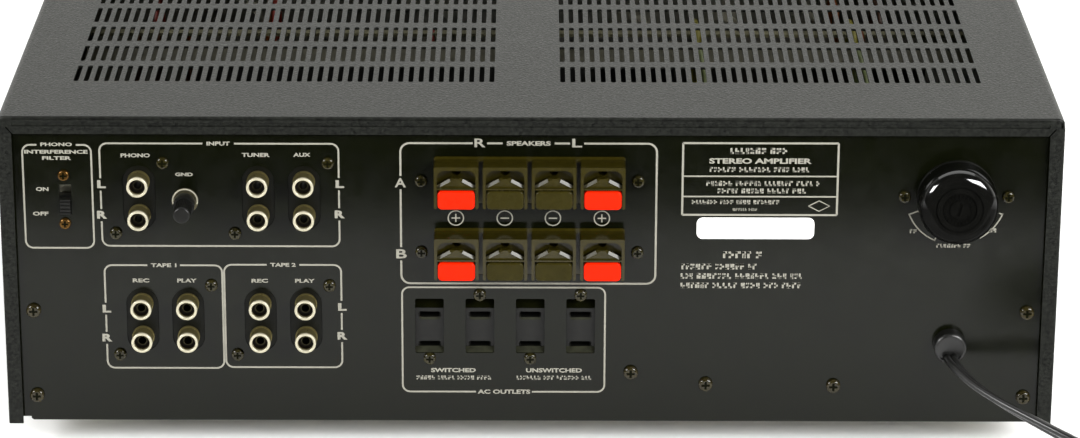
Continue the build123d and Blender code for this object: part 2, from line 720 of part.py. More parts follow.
tie_width, tie_thick, tie_angle = 9.0, 0.8, 300.0
ring_mid = (coil_in + coil_out) / 2
tie_plane = Plane(
    origin=(
        coil_centre[0] + ring_mid * cos(radians(tie_angle)),
        coil_centre[1] + ring_mid * sin(radians(tie_angle)),
        (coil_low + coil_high) / 2,
    ),
    x_dir=(cos(radians(tie_angle)), sin(radians(tie_angle)), 0),
    z_dir=(-sin(radians(tie_angle)), cos(radians(tie_angle)), 0),
)
tie_hole = (coil_out - coil_in + 1.2, coil_high - coil_low + 0.1)
with BuildPart() as cord_tie:
    with BuildSketch(tie_plane):
        RectangleRounded(tie_hole[0] + 2 * tie_thick, tie_hole[1] + 2 * tie_thick, 2.8)
        RectangleRounded(*tie_hole, 2.0, mode=Mode.SUBTRACT)
    extrude(amount=tie_width / 2, both=True)
pieces["cord_tie"] = cord_tie

# Plug: a two-blade moulded body lying beside the coil, where the last turn leaves it.
leave_angle, tail = 90.0, 24.0
plug_z = 8.3
heading = (sin(radians(leave_angle)), -cos(radians(leave_angle)), 0)
leave_at = (
    coil_centre[0] + coil_mid_r * cos(radians(leave_angle)),
    coil_centre[1] + coil_mid_r * sin(radians(leave_angle)),
)
plug_plane = Plane(
    origin=(leave_at[0] + tail * heading[0], leave_at[1] + tail * heading[1], plug_z),
    x_dir=(-heading[1], heading[0], 0),
    z_dir=heading,
)
relief_length, body_length, blade_length = 16.0, 25.0, 17.0
with BuildPart() as mains_plug:
    with BuildSketch(plug_plane):
        Circle(cord_d / 2 + 0.6)
    with BuildSketch(plug_plane.offset(relief_length)):
        RectangleRounded(15, 10, 4)
    loft()
    with BuildSketch(plug_plane.offset(relief_length)):
        RectangleRounded(21, 14, 4)
    with BuildSketch(plug_plane.offset(relief_length + body_length)):
        RectangleRounded(25, 16, 4)
    loft()
    with BuildSketch(plug_plane.offset(relief_length + body_length)):
        with GridLocations(blade_spacing, 1, 2, 1):
            Rectangle(1.6, 6.4)
    extrude(amount=-8, mode=Mode.SUBTRACT)
pieces["mains_plug"] = mains_plug

with BuildPart() as plug_blades:
    with BuildSketch(plug_plane.offset(relief_length + body_length - 7.9)):
        with GridLocations(blade_spacing, 1, 2, 1):
            Rectangle(1.5, 6.3)
    extrude(amount=blade_length + 7.9)
    chamfer(plug_blades.faces().sort_by(Axis(plug_plane.origin, plug_plane.z_dir))[-2:].edges(), 0.5)
pieces["plug_blades"] = plug_blades

# --- Front --------------------------------------------------------------------------------------
# Controls: x along +X as seen from the front, y up from the datum level.
power_spot, lamp_spot, phones_spot = (-180.0, 88.0), (-180.0, 64.0), (-180.0, 36.0)
knobs = {  # centre, radius, reach from the fascia
    "volume_knob": ((138.0, 70.0), 31.0, 20.5),
    "input_knob": ((50.0, 70.0), 19.0, 18.0),
    "bass_knob": ((-130.0, 64.0), 14.0, 17.0),
    "treble_knob": ((-88.0, 64.0), 14.0, 17.0),
    "balance_knob": ((-46.0, 64.0), 14.0, 17.0),
}
button_spots = {"tape_button": (-10.0, 88.0), "loudness_button": (-10.0, 46.0)}
fascia_low, fascia_high = -3.0, case_height
spindle_r = 3.0

with BuildPart() as front_panel:
    with BuildSketch(before(front_plate_back)):
        with Locations((0, 64.5)):
            Rectangle(2 * plate_half - 2, 123)
        with Locations(*[spot for spot, r, reach in knobs.values()]):
            Circle(spindle_r + 1.5, mode=Mode.SUBTRACT)
        with Locations(power_spot):
            Rectangle(16.6, 12.6, mode=Mode.SUBTRACT)
        with Locations(*button_spots.values()):
            Rectangle(12.6, 7.6, mode=Mode.SUBTRACT)
        with Locations(lamp_spot):
            Circle(4.3, mode=Mode.SUBTRACT)
        with Locations(phones_spot):
            Circle(5.0, mode=Mode.SUBTRACT)
    extrude(amount=chassis_sheet)
pieces["front_panel"] = front_panel

with BuildPart() as fascia:
    with BuildSketch(before(fascia_back)):
        with Locations((0, (fascia_low + fascia_high) / 2)):
            RectangleRounded(case_width, fascia_high - fascia_low, 2)
    extrude(amount=fascia_back - fascia_front)
    chamfer(fascia.faces().sort_by(Axis.Y)[0].edges(), 1.2)
    with BuildSketch(before(fascia_front)):
        with Locations(*[spot for spot, r, reach in knobs.values()]):
            Circle(spindle_r + 1.5)
        with Locations(power_spot):
            RectangleRounded(16.8, 12.8, 1)
        with Locations(*button_spots.values()):
            RectangleRounded(12.8, 7.8, 1)
        with Locations(lamp_spot):
            Circle(3.6)
        with Locations(phones_spot):
            Circle(5.6)
    extrude(amount=-20, mode=Mode.SUBTRACT)
    # A shallow turned recess behind each knob.
    with BuildSketch(before(fascia_front)):
        for spot, r, reach in knobs.values():
            with Locations(spot):
                Circle(r + 2.5)
    extrude(amount=-1.0, mode=Mode.SUBTRACT)
pieces["fascia"] = fascia


def control_knob(spot, r, reach):
    """A turned aluminium knob on its spindle, with a fluted grip and an index line."""
    with BuildPart() as knob:
        with BuildSketch(before(fascia_front + 0.4)):
            with Locations(spot):
                Circle(r)
        extrude(amount=reach + 0.4)
        fillet(knob.edges().group_by(Axis.Y)[0], 1.5)
        with BuildSketch(before(fascia_front - 4)):
            with Locations(spot):
                with PolarLocations(r + 0.2, round(2.2 * r)):
                    Circle(0.6)
        extrude(amount=reach - 7, mode=Mode.SUBTRACT)
        with BuildSketch(before(fascia_front - reach)):
            with Locations((spot[0], spot[1] + 0.72 * r)):
                Rectangle(1.2, 0.4 * r)
        extrude(amount=-0.7, mode=Mode.SUBTRACT)
        with BuildSketch(before(fascia_front + 0.4)):
            with Locations(spot):
                Circle(spindle_r)
        extrude(amount=fascia_front + 0.4 - front_plate_back - 4)
    return knob


for name, (spot, r, reach) in knobs.items():
    pieces[name] = control_knob(spot, r, reach)

with BuildPart() as potentiometers:
    with BuildSketch(before(front_plate_back)):
        with Locations(*[spot for spot, r, reach in knobs.values()]):
            Circle(12)
            Circle(spindle_r + 0.3, mode=Mode.SUBTRACT)
    extrude(amount=-14)
    with BuildSketch(before(front_plate_back + 4)):
        with Locations(*[(x, y - 16) for (x, y), r, reach in knobs.values()]):
            Rectangle(12, 9)
    extrude(amount=-1.5)
pieces["potentiometers"] = potentiometers


def push_button(spot, width, height, reach, depth):
    """A rectangular push button on a plunger that reaches behind the front plate."""
    with BuildPart() as button:
        with BuildSketch(before(fascia_front - reach)):
            with Locations(spot):
                RectangleRounded(width, height, 0.8)
        extrude(amount=-(reach + depth))
        fillet(button.faces().sort_by(Axis.Y)[0].edges(), 0.6)
    return button


pieces["power_button"] = push_button(power_spot, 16.0, 12.0, 7.0, 16.0)
for name, spot in button_spots.items():
    pieces[name] = push_button(spot, 12.0, 7.0, 6.0, 16.0)

with BuildPart() as switch_frames:
    for spot, width, height in [(power_spot, 22, 18)] + [(s, 18, 13) for s in button_spots.values()]:
        with BuildSketch(before(front_plate_back)):
            with Locations(spot):
                Rectangle(width, height)
                Rectangle(width - 5, height - 5, mode=Mode.SUBTRACT)
        extrude(amount=-12)
        with BuildSketch(before(front_plate_back + 12)):
            with Locations(spot):
                Rectangle(width, height)
        extrude(amount=-16)
pieces["switch_frames"] = switch_frames

with BuildPart() as headphone_socket:
    with BuildSketch(before(front_plate_back + 0.1)):
        with Locations(phones_spot):
            Rectangle(14, 16)
    extrude(amount=-26)
    with BuildSketch(before(front_plate_back + 0.1)):
        with Locations(phones_spot):
            Circle(4.8)
    extrude(amount=front_plate_back + 0.1 - fascia_front)
    with BuildSketch(before(fascia_front)):
        with Locations(phones_spot):
            Circle(7.5)
    extrude(amount=1.6)
    fillet(headphone_socket.edges().group_by(Axis.Y)[0], 0.5)
    with BuildSketch(before(fascia_front - 1.6)):
        with Locations(phones_spot):
            Circle(3.2)
    extrude(amount=-36, mode=Mode.SUBTRACT)
pieces["headphone_socket"] = headphone_socket

with BuildPart() as power_lamp:
    with BuildSketch(before(front_plate_back + 4)):
        with Locations(lamp_spot):
            Circle(3.4)
    extrude(amount=front_plate_back + 4 - fascia_front + 0.8)
    fillet(power_lamp.edges().group_by(Axis.Y)[0], 0.7)
pieces["power_lamp"] = power_lamp

# --- Insides ------------------------------------------------------------------------------------
floor_top = plate_low + chassis_sheet
transformer_at = (-128.0, -66.0)
with BuildPart() as transformer_core:
    with BuildSketch(level(floor_top + 1)):
        with Locations(transformer_at):
            Rectangle(96, 46)
            with GridLocations(42, 1, 2, 1):
                Rectangle(18, 47, mode=Mode.SUBTRACT)
    extrude(amount=80)
    with BuildSketch(level(floor_top)):
        with Locations(transformer_at):
            Rectangle(112, 46)
            with GridLocations(102, 34, 2, 2):
                Circle(2.2, mode=Mode.SUBTRACT)
    extrude(amount=14)
    with BuildSketch(level(floor_top + 81 - 14)):
        with Locations(transformer_at):
            Rectangle(96, 46)
    extrude(amount=14)
pieces["transformer_core"] = transformer_core

with BuildPart() as transformer_winding:
    with BuildSketch(level(floor_top + 14.2)):
        with Locations(transformer_at):
            RectangleRounded(59.6, 74, 6)
            Rectangle(24.4, 46.4, mode=Mode.SUBTRACT)
    extrude(amount=52.6)
    with BuildSketch(level(floor_top + 14.2)):
        with Locations(transformer_at):
            for side in (-1, 1):
                with Locations((side * 39.3, 0)):
                    Rectangle(19, 46.4, mode=Mode.ADD)
    extrude(amount=52.6, mode=Mode.SUBTRACT)
    with BuildSketch(level(floor_top + 14.2)):
        with Locations(transformer_at):
            with GridLocations(42.0, 1, 2, 1):
                Rectangle(17.4, 46.4)
    extrude(amount=52.6)
pieces["transformer_winding"] = transformer_winding

capacitor_spots = [(-48.0, -98.0), (-6.0, -98.0)]
with BuildPart() as filter_capacitors:
    with BuildSketch(level(floor_top)):
        with Locations(*capacitor_spots):
            Circle(18)
    extrude(amount=78)
    fillet(filter_capacitors.edges().group_by(Axis.Z)[-1], 2)
    with BuildSketch(level(floor_top + 78)):
        with Locations(*capacitor_spots):
            Circle(15)
    extrude(amount=-1.2, mode=Mode.SUBTRACT)
pieces["filter_capacitors"] = filter_capacitors

heatsink_at, heatsink_base = (62.0, -10.0), floor_top + 8
with BuildPart() as heatsink:
    with BuildSketch(level(heatsink_base)):
        with Locations(heatsink_at):
            Rectangle(170, 5)
        with Locations((heatsink_at[0], heatsink_at[1] - 20)):
            with GridLocations(10, 1, 17, 1):
                Rectangle(2, 36)
    extrude(amount=84)
    with BuildSketch(level(floor_top)):
        with Locations(heatsink_at):
            with GridLocations(150, 1, 2, 1):
                Rectangle(14, 5)
    extrude(amount=8)
pieces["heatsink"] = heatsink

transistor_face = heatsink_at[1] + 2.5
transistor_spots = [(heatsink_at[0] - 60 + 40 * k, heatsink_base + 40) for k in range(4)]
with BuildPart() as output_transistors:
    with BuildSketch(behind(transistor_face)):
        with Locations(*[(-x, y) for x, y in transistor_spots]):
            SlotOverall(36, 24, rotation=90)
    extrude(amount=1.6)
    with BuildSketch(behind(transistor_face)):
        with Locations(*[(-x, y) for x, y in transistor_spots]):
            Circle(10.5)
    extrude(amount=8)
    fillet(output_transistors.edges().group_by(Axis.Y)[-1], 1.2)
pieces["output_transistors"] = output_transistors


def circuit_board(centre, size, height, cans, posts):
    """A board on four posts, with electrolytic cans standing on it."""
    with BuildPart() as board:
        with BuildSketch(level(height)):
            with Locations(centre):
                Rectangle(*size)
        extrude(amount=1.6)
        with BuildSketch(level(height + 1.6)):
            for x, y, r in cans:
                with Locations((centre[0] + x, centre[1] + y)):
                    Circle(r)
        extrude(amount=18)
        with BuildSketch(level(floor_top)):
            with Locations(centre):
                with GridLocations(size[0] - 12, size[1] - 12, 2, 2):
                    Circle(posts)
        extrude(amount=height - floor_top)
    return board


pieces["amplifier_board"] = circuit_board(
    (62.0, 44.0), (170, 66), 20.0,
    [(-60 + 30 * k, -10 + 16 * (k % 2), 5 + k % 3) for k in range(5)], 3.0,
)
pieces["preamp_board"] = circuit_board(
    (122.0, 116.0), (110, 60), 14.0,
    [(-42 + 14 * k, -14 + 13 * (k % 3), 3.5 + k % 2) for k in range(7)], 3.0,
)

for name, piece in pieces.items():
    piece.part.label = name
    export_step(piece.part, f"parts/{name}.step")
print(len(pieces), "pieces")
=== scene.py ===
import json
import math

import bmesh
import bpy
import numpy as np
from mathutils import Matrix, Vector


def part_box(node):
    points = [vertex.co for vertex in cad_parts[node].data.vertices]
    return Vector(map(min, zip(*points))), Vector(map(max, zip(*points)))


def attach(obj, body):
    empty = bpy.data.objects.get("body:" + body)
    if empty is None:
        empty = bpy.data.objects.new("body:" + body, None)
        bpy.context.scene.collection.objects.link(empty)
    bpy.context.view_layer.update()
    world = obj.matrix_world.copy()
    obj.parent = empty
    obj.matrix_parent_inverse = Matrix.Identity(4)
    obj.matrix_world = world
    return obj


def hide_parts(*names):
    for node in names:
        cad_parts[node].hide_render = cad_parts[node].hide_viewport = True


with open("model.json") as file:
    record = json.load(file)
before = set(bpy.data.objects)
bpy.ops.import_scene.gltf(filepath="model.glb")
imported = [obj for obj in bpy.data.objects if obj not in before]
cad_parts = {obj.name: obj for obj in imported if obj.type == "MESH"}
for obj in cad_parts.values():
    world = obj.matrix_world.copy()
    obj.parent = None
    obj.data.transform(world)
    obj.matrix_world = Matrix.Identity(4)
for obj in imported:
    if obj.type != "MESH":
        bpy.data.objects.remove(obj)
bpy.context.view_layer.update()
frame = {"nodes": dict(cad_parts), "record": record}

MM = 0.001
BODY = "chassis"
COVER_HEIGHT = 129.5  # mm, from the level that all heights are given from to the cover's top
nodes = frame["nodes"]
scene = bpy.context.scene

# Places taken from the frame, in metres.
COVER_HIGH = Vector(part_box("top_cover")[1])
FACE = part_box("rear_panel")[1][1]  # Y of the rear panel's outer face
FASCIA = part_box("fascia")[0][1]  # Y of the fascia's front face
EDGE = COVER_HIGH.z - COVER_HEIGHT * MM

# Places on the rear panel that several pieces share, in mm as rear() takes them.
GROUND_POST = (-136.8, 93.8)
TERMINAL_CENTRE, TERMINAL_PITCH = -0.5, 19.25
TERMINAL_BASES = (93.9, 63.9)  # the lower edge of each block of four
TERMINAL_COLUMNS = [TERMINAL_CENTRE + TERMINAL_PITCH * k for k in (-1.5, -0.5, 0.5, 1.5)]
OUTLET_COLUMNS = [-40.4 + 20.15 * k for k in range(4)]
SELECTOR = (168.5, 95.8)


def rear(x, y, out=0.0):
    """A point on the rear panel: x mm right as seen from behind, y mm up, out mm off its face."""
    return Vector((-x * MM, FACE + out * MM, EDGE + y * MM))


def front(x, y, out=0.0):
    """A point on the fascia: x mm right as seen from the front, y mm up, out mm off its face."""
    return Vector((x * MM, FASCIA - out * MM, EDGE + y * MM))


# --- Shader node helpers ------------------------------------------------------------------------
def map_range(tree, value, from_min, from_max, to_min=0.0, to_max=1.0, smooth=False):
    """A value taken from one range to another."""
    node = tree.nodes.new("ShaderNodeMapRange")
    if smooth:
        node.interpolation_type = "SMOOTHSTEP"
    limits = {"From Min": from_min, "From Max": from_max, "To Min": to_min, "To Max": to_max}
    for key, number in limits.items():
        node.inputs[key].default_value = number
    tree.links.new(value, node.inputs["Value"])
    return node.outputs["Result"]


def axes_of(tree, kind, output):
    """The X, Y and Z of a new node's vector output."""
    axes = tree.nodes.new("ShaderNodeSeparateXYZ")
    tree.links.new(tree.nodes.new(kind).outputs[output], axes.inputs[0])
    return axes.outputs["X"], axes.outputs["Y"], axes.outputs["Z"]


def colour_blend(tree, share, first, second):
    """A colour that goes from the first to the second as share goes from 0 to 1."""
    node = tree.nodes.new("ShaderNodeMix")
    node.data_type = "RGBA"
    node.inputs["A"].default_value = (*first, 1)
    node.inputs["B"].default_value = (*second, 1)
    tree.links.new(share, node.inputs["Factor"])
    return node.outputs["Result"]


# --- Camera, light and floor --------------------------------------------------------------------
LENS, SENSOR = 133.83, 36.0  # mm
PITCH, YAW, ROLL = (math.radians(a) for a in (19.84, -0.19, 0.21))
# Metres across, behind the cover's rear edge, and above the level that heights are given from.
CAMERA_X, CAMERA_BEHIND, CAMERA_ABOVE = 0.0013, 1.4946, 0.6266


def set_camera():
    """A camera behind the case that looks down on its rear."""
    data = bpy.data.cameras.new("camera")
    data.lens, data.sensor_width = LENS, SENSOR
    data.clip_start, data.clip_end = 0.05, 50.0
    camera = bpy.data.objects.new("camera", data)
    scene.collection.objects.link(camera)
    turn = Matrix.Rotation(math.pi + YAW, 4, "Z") @ Matrix.Rotation(math.pi / 2 - PITCH, 4, "X")
    place = Matrix.Translation((CAMERA_X, COVER_HIGH.y + CAMERA_BEHIND, EDGE + CAMERA_ABOVE))
    camera.matrix_world = place @ turn @ Matrix.Rotation(ROLL, 4, "Z")
    scene.camera = camera


def softbox(name, place, target, size, radiance):
    """A rectangular area lamp of a given radiance, aimed at a target."""
    data = bpy.data.lights.new(name, "AREA")
    data.shape = "RECTANGLE"
    data.size, data.size_y = size
    data.energy = radiance * math.pi * size[0] * size[1]
    lamp = bpy.data.objects.new(name, data)
    scene.collection.objects.link(lamp)
    lamp.location = place
    lamp.rotation_euler = (Vector(target) - Vector(place)).to_track_quat("-Z", "Y").to_euler()


def set_world(front_strength, rear_strength):
    """A studio that is bright low down on the front's side of the case, and dark on the rear's side."""
    world = bpy.data.worlds.new("studio")
    scene.world = world
    world.use_nodes = True
    tree = world.node_tree
    x, y, z = axes_of(tree, "ShaderNodeTexCoord", "Generated")

    def product(a, b):
        node = tree.nodes.new("ShaderNodeMath")
        node.operation = "MULTIPLY"
        tree.links.new(a, node.inputs[0])
        tree.links.new(b, node.inputs[1])
        return node.outputs[0]

    depth = map_range(tree, y, -0.35, 0.3, front_strength, rear_strength, smooth=True)
    height = map_range(tree, z, 0.15, 0.75, 1.0, 0.35, smooth=True)
    side = map_range(tree, x, -0.25, 0.25, 1.12, 0.94, smooth=True)
    background = tree.nodes["Background"]
    background.inputs["Color"].default_value = (1.0, 1.0, 0.95, 1.0)
    tree.links.new(product(product(depth, height), side), background.inputs["Strength"])


TABLE_END = 0.45  # metres behind the middle; the floor beyond is kept out of reflections
ROOM = 6.0


def floor_part(name, y_from, y_to, finish):
    """A level strip of the floor, as wide as the room."""
    mesh = bpy.data.meshes.new(name)
    corners = [(-ROOM, y_from, 0), (ROOM, y_from, 0), (ROOM, y_to, 0), (-ROOM, y_to, 0)]
    mesh.from_pydata(corners, [], [(0, 1, 2, 3)])
    mesh.materials.append(finish)
    obj = bpy.data.objects.new(name, mesh)
    scene.collection.objects.link(obj)
    return obj


def set_studio(finishes):
    scene.view_settings.view_transform = "Standard"
    set_world(1.8, 0.015)
    softbox("overhead", (0.0, -0.6, 2.0), (0.0, -0.6, 0.0), (3.0, 2.0), 2.0)
    panel = (0.0, 0.15, 0.08)
    softbox("right_box", (-0.926, 1.16, 0.69), panel, (0.836, 0.48), 33.0)
    softbox("left_box", (1.034, 1.048, 0.68), panel, (0.526, 0.45), 33.0)
    floor_part("floor_near", -ROOM, TABLE_END, finishes["floor_white"])
    floor_part("floor_far", TABLE_END, ROOM, finishes["floor_white"]).visible_glossy = False


# --- Materials ----------------------------------------------------------------------------------
def material(name, colour, rough, metal=0.0, mottle=0.0, mottle_mm=20.0, bump=0.0, bump_mm=0.5,
             rough_mottle=0.0, stretch=(1, 1, 1), shine=0.5):
    """A Principled material whose colour, roughness and relief vary with noise of real sizes."""
    mat = bpy.data.materials.new(name)
    mat.use_nodes = True
    tree = mat.node_tree
    shader = tree.nodes["Principled BSDF"]
    shader.inputs["Base Color"].default_value = (*colour, 1)
    shader.inputs["Roughness"].default_value = rough
    shader.inputs["Metallic"].default_value = metal
    shader.inputs["Specular IOR Level"].default_value = shine
    place = tree.nodes.new("ShaderNodeTexCoord").outputs["Object"]
    if tuple(stretch) != (1, 1, 1):
        mapping = tree.nodes.new("ShaderNodeMapping")
        mapping.inputs["Scale"].default_value = stretch
        tree.links.new(place, mapping.inputs["Vector"])
        place = mapping.outputs["Vector"]

    def noise(size_mm, detail):
        node = tree.nodes.new("ShaderNodeTexNoise")
        node.inputs["Scale"].default_value = 1000.0 / size_mm
        node.inputs["Detail"].default_value = detail
        tree.links.new(place, node.inputs["Vector"])
        return node.outputs["Fac"]

    def spread(value, low, high):
        """Noise, which keeps to the middle of its range, taken from low to high."""
        return map_range(tree, value, 0.3, 0.7, low, high)

    if mottle:
        dark = [c * (1 - mottle) for c in colour]
        light = [min(1, c * (1 + mottle)) for c in colour]
        blend = colour_blend(tree, spread(noise(mottle_mm, 6), 0, 1), dark, light)
        tree.links.new(blend, shader.inputs["Base Color"])
    if rough_mottle:
        value = spread(noise(mottle_mm * 0.7, 5), rough - rough_mottle, rough + rough_mottle)
        tree.links.new(value, shader.inputs["Roughness"])
    if bump:
        node = tree.nodes.new("ShaderNodeBump")
        node.inputs["Strength"].default_value = bump
        node.inputs["Distance"].default_value = 0.3 * bump_mm * MM
        tree.links.new(noise(bump_mm, 3), node.inputs["Height"])
        tree.links.new(node.outputs["Normal"], shader.inputs["Normal"])
    return mat


def make_shell_material():
    """Nickel that is bright round the jacks' mouths and a dull olive brass along their barrels. The
    mouths' brightness is partly a painted reflection: pale, only partly metallic nickel gives the rims
    an even sheen in place of their mirror highlights.
    """
    brass, nickel = (0.17, 0.143, 0.055), (0.37, 0.345, 0.25)
    # The mouths' low metallic share lets their pale colour stand in for reflection: painted sheen.
    brass_metal, nickel_metal = 0.75, 0.30
    mouth_from, mouth_to = 6.4, 7.2  # mm off the panel
    mat = material("jack_nickel", nickel, 0.32, rough_mottle=0.05, mottle_mm=2)
    tree = mat.node_tree
    shader = tree.nodes["Principled BSDF"]
    shift = nodes["jack_shells"].matrix_world.translation.y
    y = axes_of(tree, "ShaderNodeTexCoord", "Object")[1]
    share = map_range(tree, y, FACE + mouth_from * MM - shift, FACE + mouth_to * MM - shift)
    tree.links.new(colour_blend(tree, share, brass, nickel), shader.inputs["Base Color"])
    metal = map_range(tree, share, 0.0, 1.0, brass_metal, nickel_metal)
    tree.links.new(metal, shader.inputs["Metallic"])
    return mat


def make_cap_material():
    """Polished black plastic whose reflection is turned down where its surface faces downwards: painted
    shade that keeps the floor's reflection off its lower side.
    """
    mat = material("gloss_black", (0.0025, 0.0025, 0.0022), 0.09, mottle=0.2, mottle_mm=4,
                   rough_mottle=0.02)
    tree = mat.node_tree
    z = axes_of(tree, "ShaderNodeNewGeometry", "Normal")[2]
    # Painted shade: reflection fades out as the surface turns downwards.
    shine = map_range(tree, z, 0.0, 0.3, 0.03, 0.6)
    tree.links.new(shine, tree.nodes["Principled BSDF"].inputs["Specular IOR Level"])
    return mat


# The finishes of the record's material slots, then those of print, stays and wires. The colours are
# linear, and lengths are in millimetres.
FINISHES = {
    "floor_white": dict(colour=(0.93, 0.93, 0.93), rough=0.8, shine=0.1),
    "cover_paint": dict(colour=(0.0058, 0.0063, 0.005), rough=0.42, mottle=0.7, mottle_mm=1.3, bump=0.7,
                        bump_mm=1.1, rough_mottle=0.07, shine=0.12),
    "panel_paint": dict(colour=(0.0018, 0.0022, 0.0006), rough=0.17, mottle=0.15, mottle_mm=9,
                        bump=0.05, bump_mm=0.6, rough_mottle=0.03, shine=0.2),
    "zinc_steel": dict(colour=(0.4, 0.39, 0.33), rough=0.42, metal=1, mottle=0.15, mottle_mm=6,
                       rough_mottle=0.1),
    "foot_plastic": dict(colour=(0.02, 0.02, 0.02), rough=0.6, bump=0.3, bump_mm=0.5, mottle=0.1),
    "zinc_screw": dict(colour=(0.55, 0.52, 0.4), rough=0.35, metal=1, mottle=0.2, mottle_mm=2),
    "black_screw": dict(colour=(0.013, 0.011, 0.003), rough=0.1, mottle=0.4, mottle_mm=1.5, shine=0.28),
    "brass_screw": dict(colour=(0.07, 0.034, 0.005), rough=0.22, metal=0.8, mottle=0.3, mottle_mm=1.5),
    "panel_screw": dict(colour=(0.014, 0.011, 0.003), rough=0.1, mottle=0.4, mottle_mm=2, shine=0.3),
    "black_phenolic": dict(colour=(0.0028, 0.0029, 0.0018), rough=0.35, bump=0.1, mottle=0.2,
                           mottle_mm=3, shine=0.12),
    "washer_nickel": dict(colour=(0.1, 0.09, 0.055), rough=0.28, metal=0.85, mottle=0.15,
                          mottle_mm=1.5),
    # painted highlight on the ground post's washer
    "washer_highlight_paint": dict(colour=(0.36, 0.34, 0.26), rough=0.3, metal=0.3, mottle=0.2, mottle_mm=1),
    "jack_insulator": dict(colour=(0.004, 0.003, 0.002), rough=0.45, mottle=0.3, mottle_mm=1,
                           shine=0.05),
    "contact_tin": dict(colour=(0.04, 0.036, 0.02), rough=0.4, metal=1, mottle=0.15, mottle_mm=2),
    # painted shade: the screw drives' recesses and the outlets' tops
    "painted_shade_black": dict(colour=(0.002, 0.0022, 0.0005), rough=0.22, mottle=0.2, mottle_mm=2, shine=0.03),
    # painted light: a lighter copy of black_plastic for the outlets' lit lips
    "lit_lip_plastic": dict(colour=(0.014, 0.0145, 0.0085), rough=0.6, mottle=0.3, mottle_mm=2, shine=0.1),
    "black_plastic": dict(colour=(0.0045, 0.0045, 0.0038), rough=0.34, mottle=0.2, mottle_mm=3,
                          bump=0.06, bump_mm=0.3, shine=0.22),
    "terminal_plastic": dict(colour=(0.017, 0.0135, 0.0012), rough=0.22, mottle=0.15, mottle_mm=3,
                             rough_mottle=0.02, shine=0.3),
    "terminal_gloss": dict(colour=(0.02, 0.017, 0.005), rough=0.3, mottle=0.2, mottle_mm=3, shine=0.24),
    "tab_red": dict(colour=(0.5, 0.0095, 0.0003), rough=0.3, mottle=0.05, mottle_mm=4,
                    rough_mottle=0.04, shine=0.05),
    "tab_dark": dict(colour=(0.0165, 0.0135, 0.0018), rough=0.28, mottle=0.12, mottle_mm=4,
                     rough_mottle=0.04, shine=0.08),
    "cord_plastic": dict(colour=(0.005, 0.005, 0.0046), rough=0.3, mottle=0.15, mottle_mm=5, bump=0.05,
                         bump_mm=0.6, shine=0.4),
    "tie_plastic": dict(colour=(0.015, 0.015, 0.016), rough=0.8, bump=0.8, bump_mm=0.5, mottle=0.2),
    "brushed_fascia": dict(colour=(0.42, 0.42, 0.43), rough=0.34, metal=1, mottle=0.07, mottle_mm=8,
                           bump=0.12, bump_mm=3, rough_mottle=0.07, stretch=(0.02, 1, 8)),
    "knob_aluminium": dict(colour=(0.46, 0.46, 0.47), rough=0.26, metal=1, mottle=0.05, mottle_mm=3,
                           rough_mottle=0.05),
    "lamp_lens": dict(colour=(0.75, 0.1, 0.03), rough=0.15, mottle=0.05),
    "transformer_iron": dict(colour=(0.05, 0.045, 0.035), rough=0.5, metal=0.6, mottle=0.3, bump=0.5,
                             bump_mm=1, stretch=(0.1, 0.1, 3)),
    "winding_tape": dict(colour=(0.3, 0.2, 0.05), rough=0.4, mottle=0.15, bump=0.2, bump_mm=3),
    "capacitor_sleeve": dict(colour=(0.012, 0.012, 0.013), rough=0.3, mottle=0.1),
    "heatsink_aluminium": dict(colour=(0.03, 0.03, 0.028), rough=0.5, metal=0.5, mottle=0.1),
    "circuit_board": dict(colour=(0.1, 0.07, 0.022), rough=0.5, mottle=0.35, mottle_mm=7),
    "print": dict(colour=(0.185, 0.178, 0.148), rough=0.55, mottle=0.06, mottle_mm=1.5,
                  rough_mottle=0.05, shine=0.2),
    "fascia_print": dict(colour=(0.03, 0.03, 0.03), rough=0.5, mottle=0.2, mottle_mm=2),
    "sticker": dict(colour=(0.9, 0.9, 0.87), rough=0.45, mottle=0.02, mottle_mm=6, bump=0.1),
    "stay_steel": dict(colour=(0.06, 0.056, 0.03), rough=0.5, mottle=0.3, mottle_mm=9, shine=0.3),
    "stay_lip": dict(colour=(0.17, 0.16, 0.09), rough=0.5, mottle=0.4, mottle_mm=14, shine=0.3),
    "wire_red": dict(colour=(0.22, 0.015, 0.004), rough=0.4, mottle=0.1),
    "wire_orange": dict(colour=(0.2, 0.05, 0.004), rough=0.4, mottle=0.1),
    "wire_yellow": dict(colour=(0.26, 0.23, 0.012), rough=0.4, mottle=0.1),
    "wire_green": dict(colour=(0.18, 0.22, 0.07), rough=0.4, mottle=0.1),
    "wire_brown": dict(colour=(0.07, 0.025, 0.006), rough=0.4, mottle=0.1),
}


def make_materials():
    """Every finish by name."""
    finishes = {name: material(name, **look) for name, look in FINISHES.items()}
    finishes["jack_nickel"] = make_shell_material()
    finishes["gloss_black"] = make_cap_material()
    return finishes


OWN_FINISH = {"panel_screws": "panel_screw", "ground_post": "washer_nickel"}


def dress_frame(finishes):
    """Gives every CAD node the finish of its slot, or one of its own."""
    for part in frame["record"]["subparts"]:
        finish = finishes[OWN_FINISH.get(part["node"], part["material_slot"])]
        for place in nodes[part["node"]].material_slots:
            place.material = finish


# --- Pieces -------------------------------------------------------------------------------------
# The faces of a block whose eight points are a quad and the same quad moved.
BLOCK_FACES = ((0, 1, 2, 3), (7, 6, 5, 4), (0, 4, 5, 1), (1, 5, 6, 2), (2, 6, 7, 3), (3, 7, 4, 0))


def add_block(points, faces, quad, shift, flip=False):
    """Adds a quad thickened by shift; flip turns its faces over."""
    start = len(points)
    points += list(quad) + [p + shift for p in quad]
    faces += [tuple(start + i for i in (face[::-1] if flip else face)) for face in BLOCK_FACES]


def corner_centres(left, right, low, high, r):
    """The centre and first angle of each corner's quarter circle, anticlockwise from the top right."""
    return ((right - r, high - r, 0), (left + r, high - r, 90),
            (left + r, low + r, 180), (right - r, low + r, 270))


